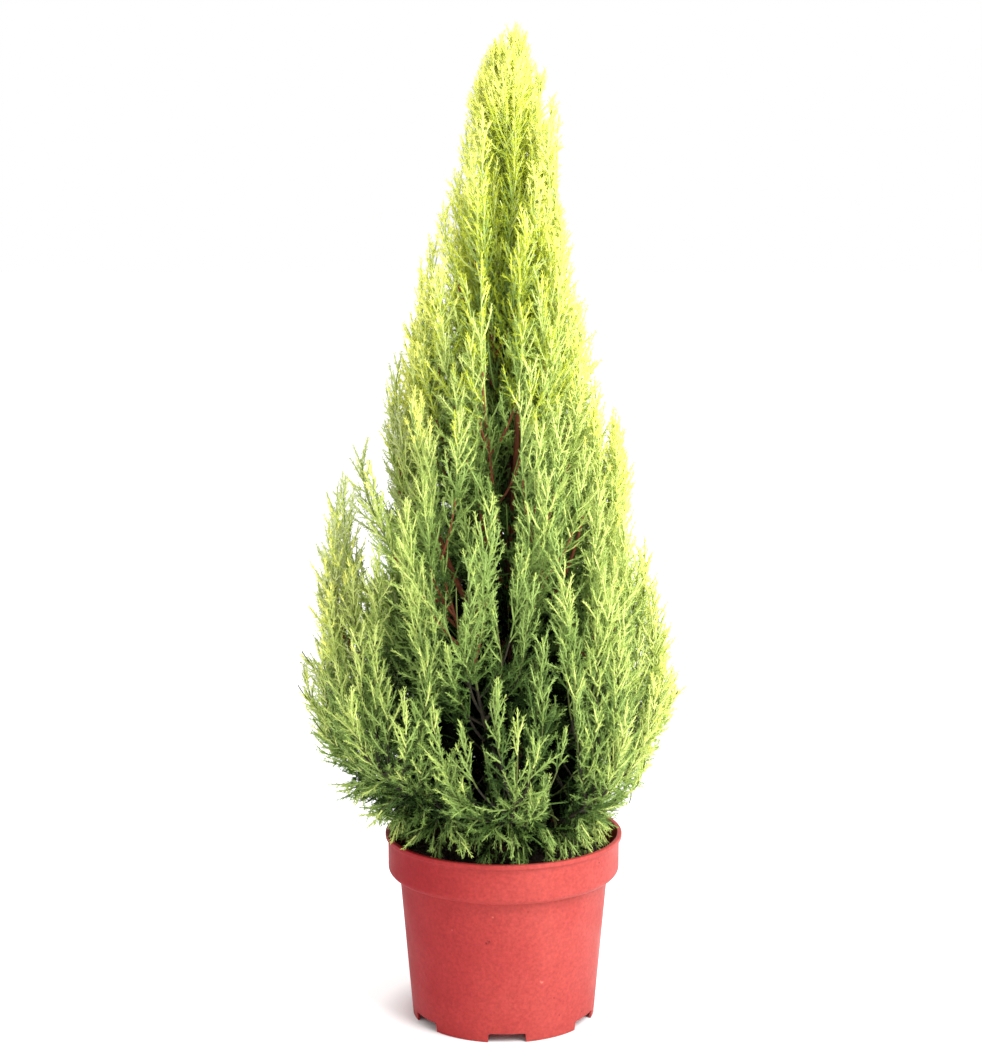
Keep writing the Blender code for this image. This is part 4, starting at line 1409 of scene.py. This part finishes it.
size = np.digitize(length, SIZE_STEPS)
size = np.where(tint < DARK_TINTS, np.minimum(size, 1), size)
size = np.where(clear, size, -1)
for number, name in enumerate(TINTS):
    parts = []
    for kind, shape in enumerate(SHAPES):
        chosen = np.flatnonzero((tint == number) & (size == kind))
        scale = length[chosen] / SIZES[kind][0]
        parts.append(stamp(shape, place[chosen], [axis[chosen] for axis in axes], scale))
    piece = new_piece(f"foliage_{name}", *join(parts), leaf_materials[name], "foliage")
    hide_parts(*plume_nodes)

# %% [markdown]
# ## Twigs under the foliage
#
# The leaders are woody below and green above. The lower half is red-brown where it may show, and
# dark inside the plant, a painted shade. The shoots are thin tubes in four of the leaf tints.

# %% Twigs
SPLIT, STEM_SPLIT = 8, 10
SHOOT_STEPS = (0.22, 0.40, 0.60)
SHOOT_RADII = np.array((0.0010, 0.0009, 0.0006))

woody, shaded, leafy = [], [], ([], [], [])
for line, radius, first, kind in leaders:
    path = along(line, np.linspace(0.0, 0.97, 17))[0][None]
    radii = np.linspace(radius, 0.0005, 17)[None]
    split = STEM_SPLIT if first == STEM_BARE else SPLIT
    high = path[0, 4, 2] > 0.70
    dark = kind > TOP or path[0, 4, 2] < 0.36 and first < STEM_BARE
    below = leafy[2] if high else shaded if dark else woody
    below.append(tubes(path[:, : split + 1], radii[:, : split + 1], 5 if high else 6))
    above = leafy[np.digitize(path[0, 12, 2], (0.40, 0.62))]
    above.append(tubes(path[:, split:], radii[:, split:], 5))
new_piece("woody_twigs", *join(woody), barks["young_bark"], "bark", True)
new_piece("shaded_twigs", *join(shaded), barks["dark_twig"], "bark", True)
greens = (barks["green_twig"], leaf_materials["fresh"], leaf_materials["yellow"])
for name, parts, material in zip(("low", "middle", "high"), leafy, greens):
    new_piece(f"leafy_twigs_{name}", *join(parts), material, "foliage", True)
group = np.digitize(shoot_tint, SHOOT_STEPS)
for number, name in enumerate(("deep", "green", "lime", "lemon")):
    pick = np.repeat(np.flatnonzero(group == number)[:, None], 3, axis=1)
    lines, _ = shoot_points(np.broadcast_to(np.linspace(0, 0.97, 3), pick.shape), pick)
    shape = tubes(lines, np.broadcast_to(SHOOT_RADII, pick.shape), 3)
    new_piece(f"shoot_twigs_{name}", *shape, leaf_materials[name], "foliage", True)

# %% [markdown]
# ## Floor and light
#
# The floor glows a little away from the pot, so that it looks as pale as the even white round
# it. One large lamp from the upper right gives the plumes their bright and shaded sides.

# %% Floor and light
FLOOR_SIZE = 12.0
FLOOR_GLOW = 0.38
GLOW_EDGE = 0.035

corners = [(-1, -1), (1, -1), (1, 1), (-1, 1)]
plane = bpy.data.meshes.new("floor")
plane.from_pydata([(x * FLOOR_SIZE, y * FLOOR_SIZE, -0.0002) for x, y in corners], [], [range(4)])
pale, tree, shader = new_material("pale_floor", 0.9)
shader.inputs["Base Color"].default_value = (0.88, 0.88, 0.88, 1.0)
shader.inputs["Emission Color"].default_value = WHITE
ground = tree.nodes.new("ShaderNodeTexCoord").outputs["Object"]
away = add_node(tree, "ShaderNodeVectorMath", ground, operation="LENGTH").outputs["Value"]
glow = ramp(tree, away, BASE_RADIUS, BASE_RADIUS + GLOW_EDGE, 0.0, FLOOR_GLOW)
tree.links.new(glow, shader.inputs["Emission Strength"])
plane.materials.append(pale)
floor = new_object("floor", plane)

world = bpy.data.worlds.new("studio")
world.use_nodes = True
background = world.node_tree.nodes["Background"]
background.inputs["Color"].default_value = WHITE
background.inputs["Strength"].default_value = 1.0
bpy.context.scene.world = world
bpy.context.scene.view_settings.view_transform = "Standard"

key = bpy.data.lights.new("key", "AREA")
key.size = 1.3
key.energy = 62.0
lamp = new_object("key", key)
lamp.location = (1.23, -1.03, 1.60)
aim = Vector((0.0, 0.0, 0.45)) - lamp.location
lamp.rotation_euler = aim.to_track_quat("-Z", "Y").to_euler()
print("one lamp of", key.energy, "W at", lamp.location[:])
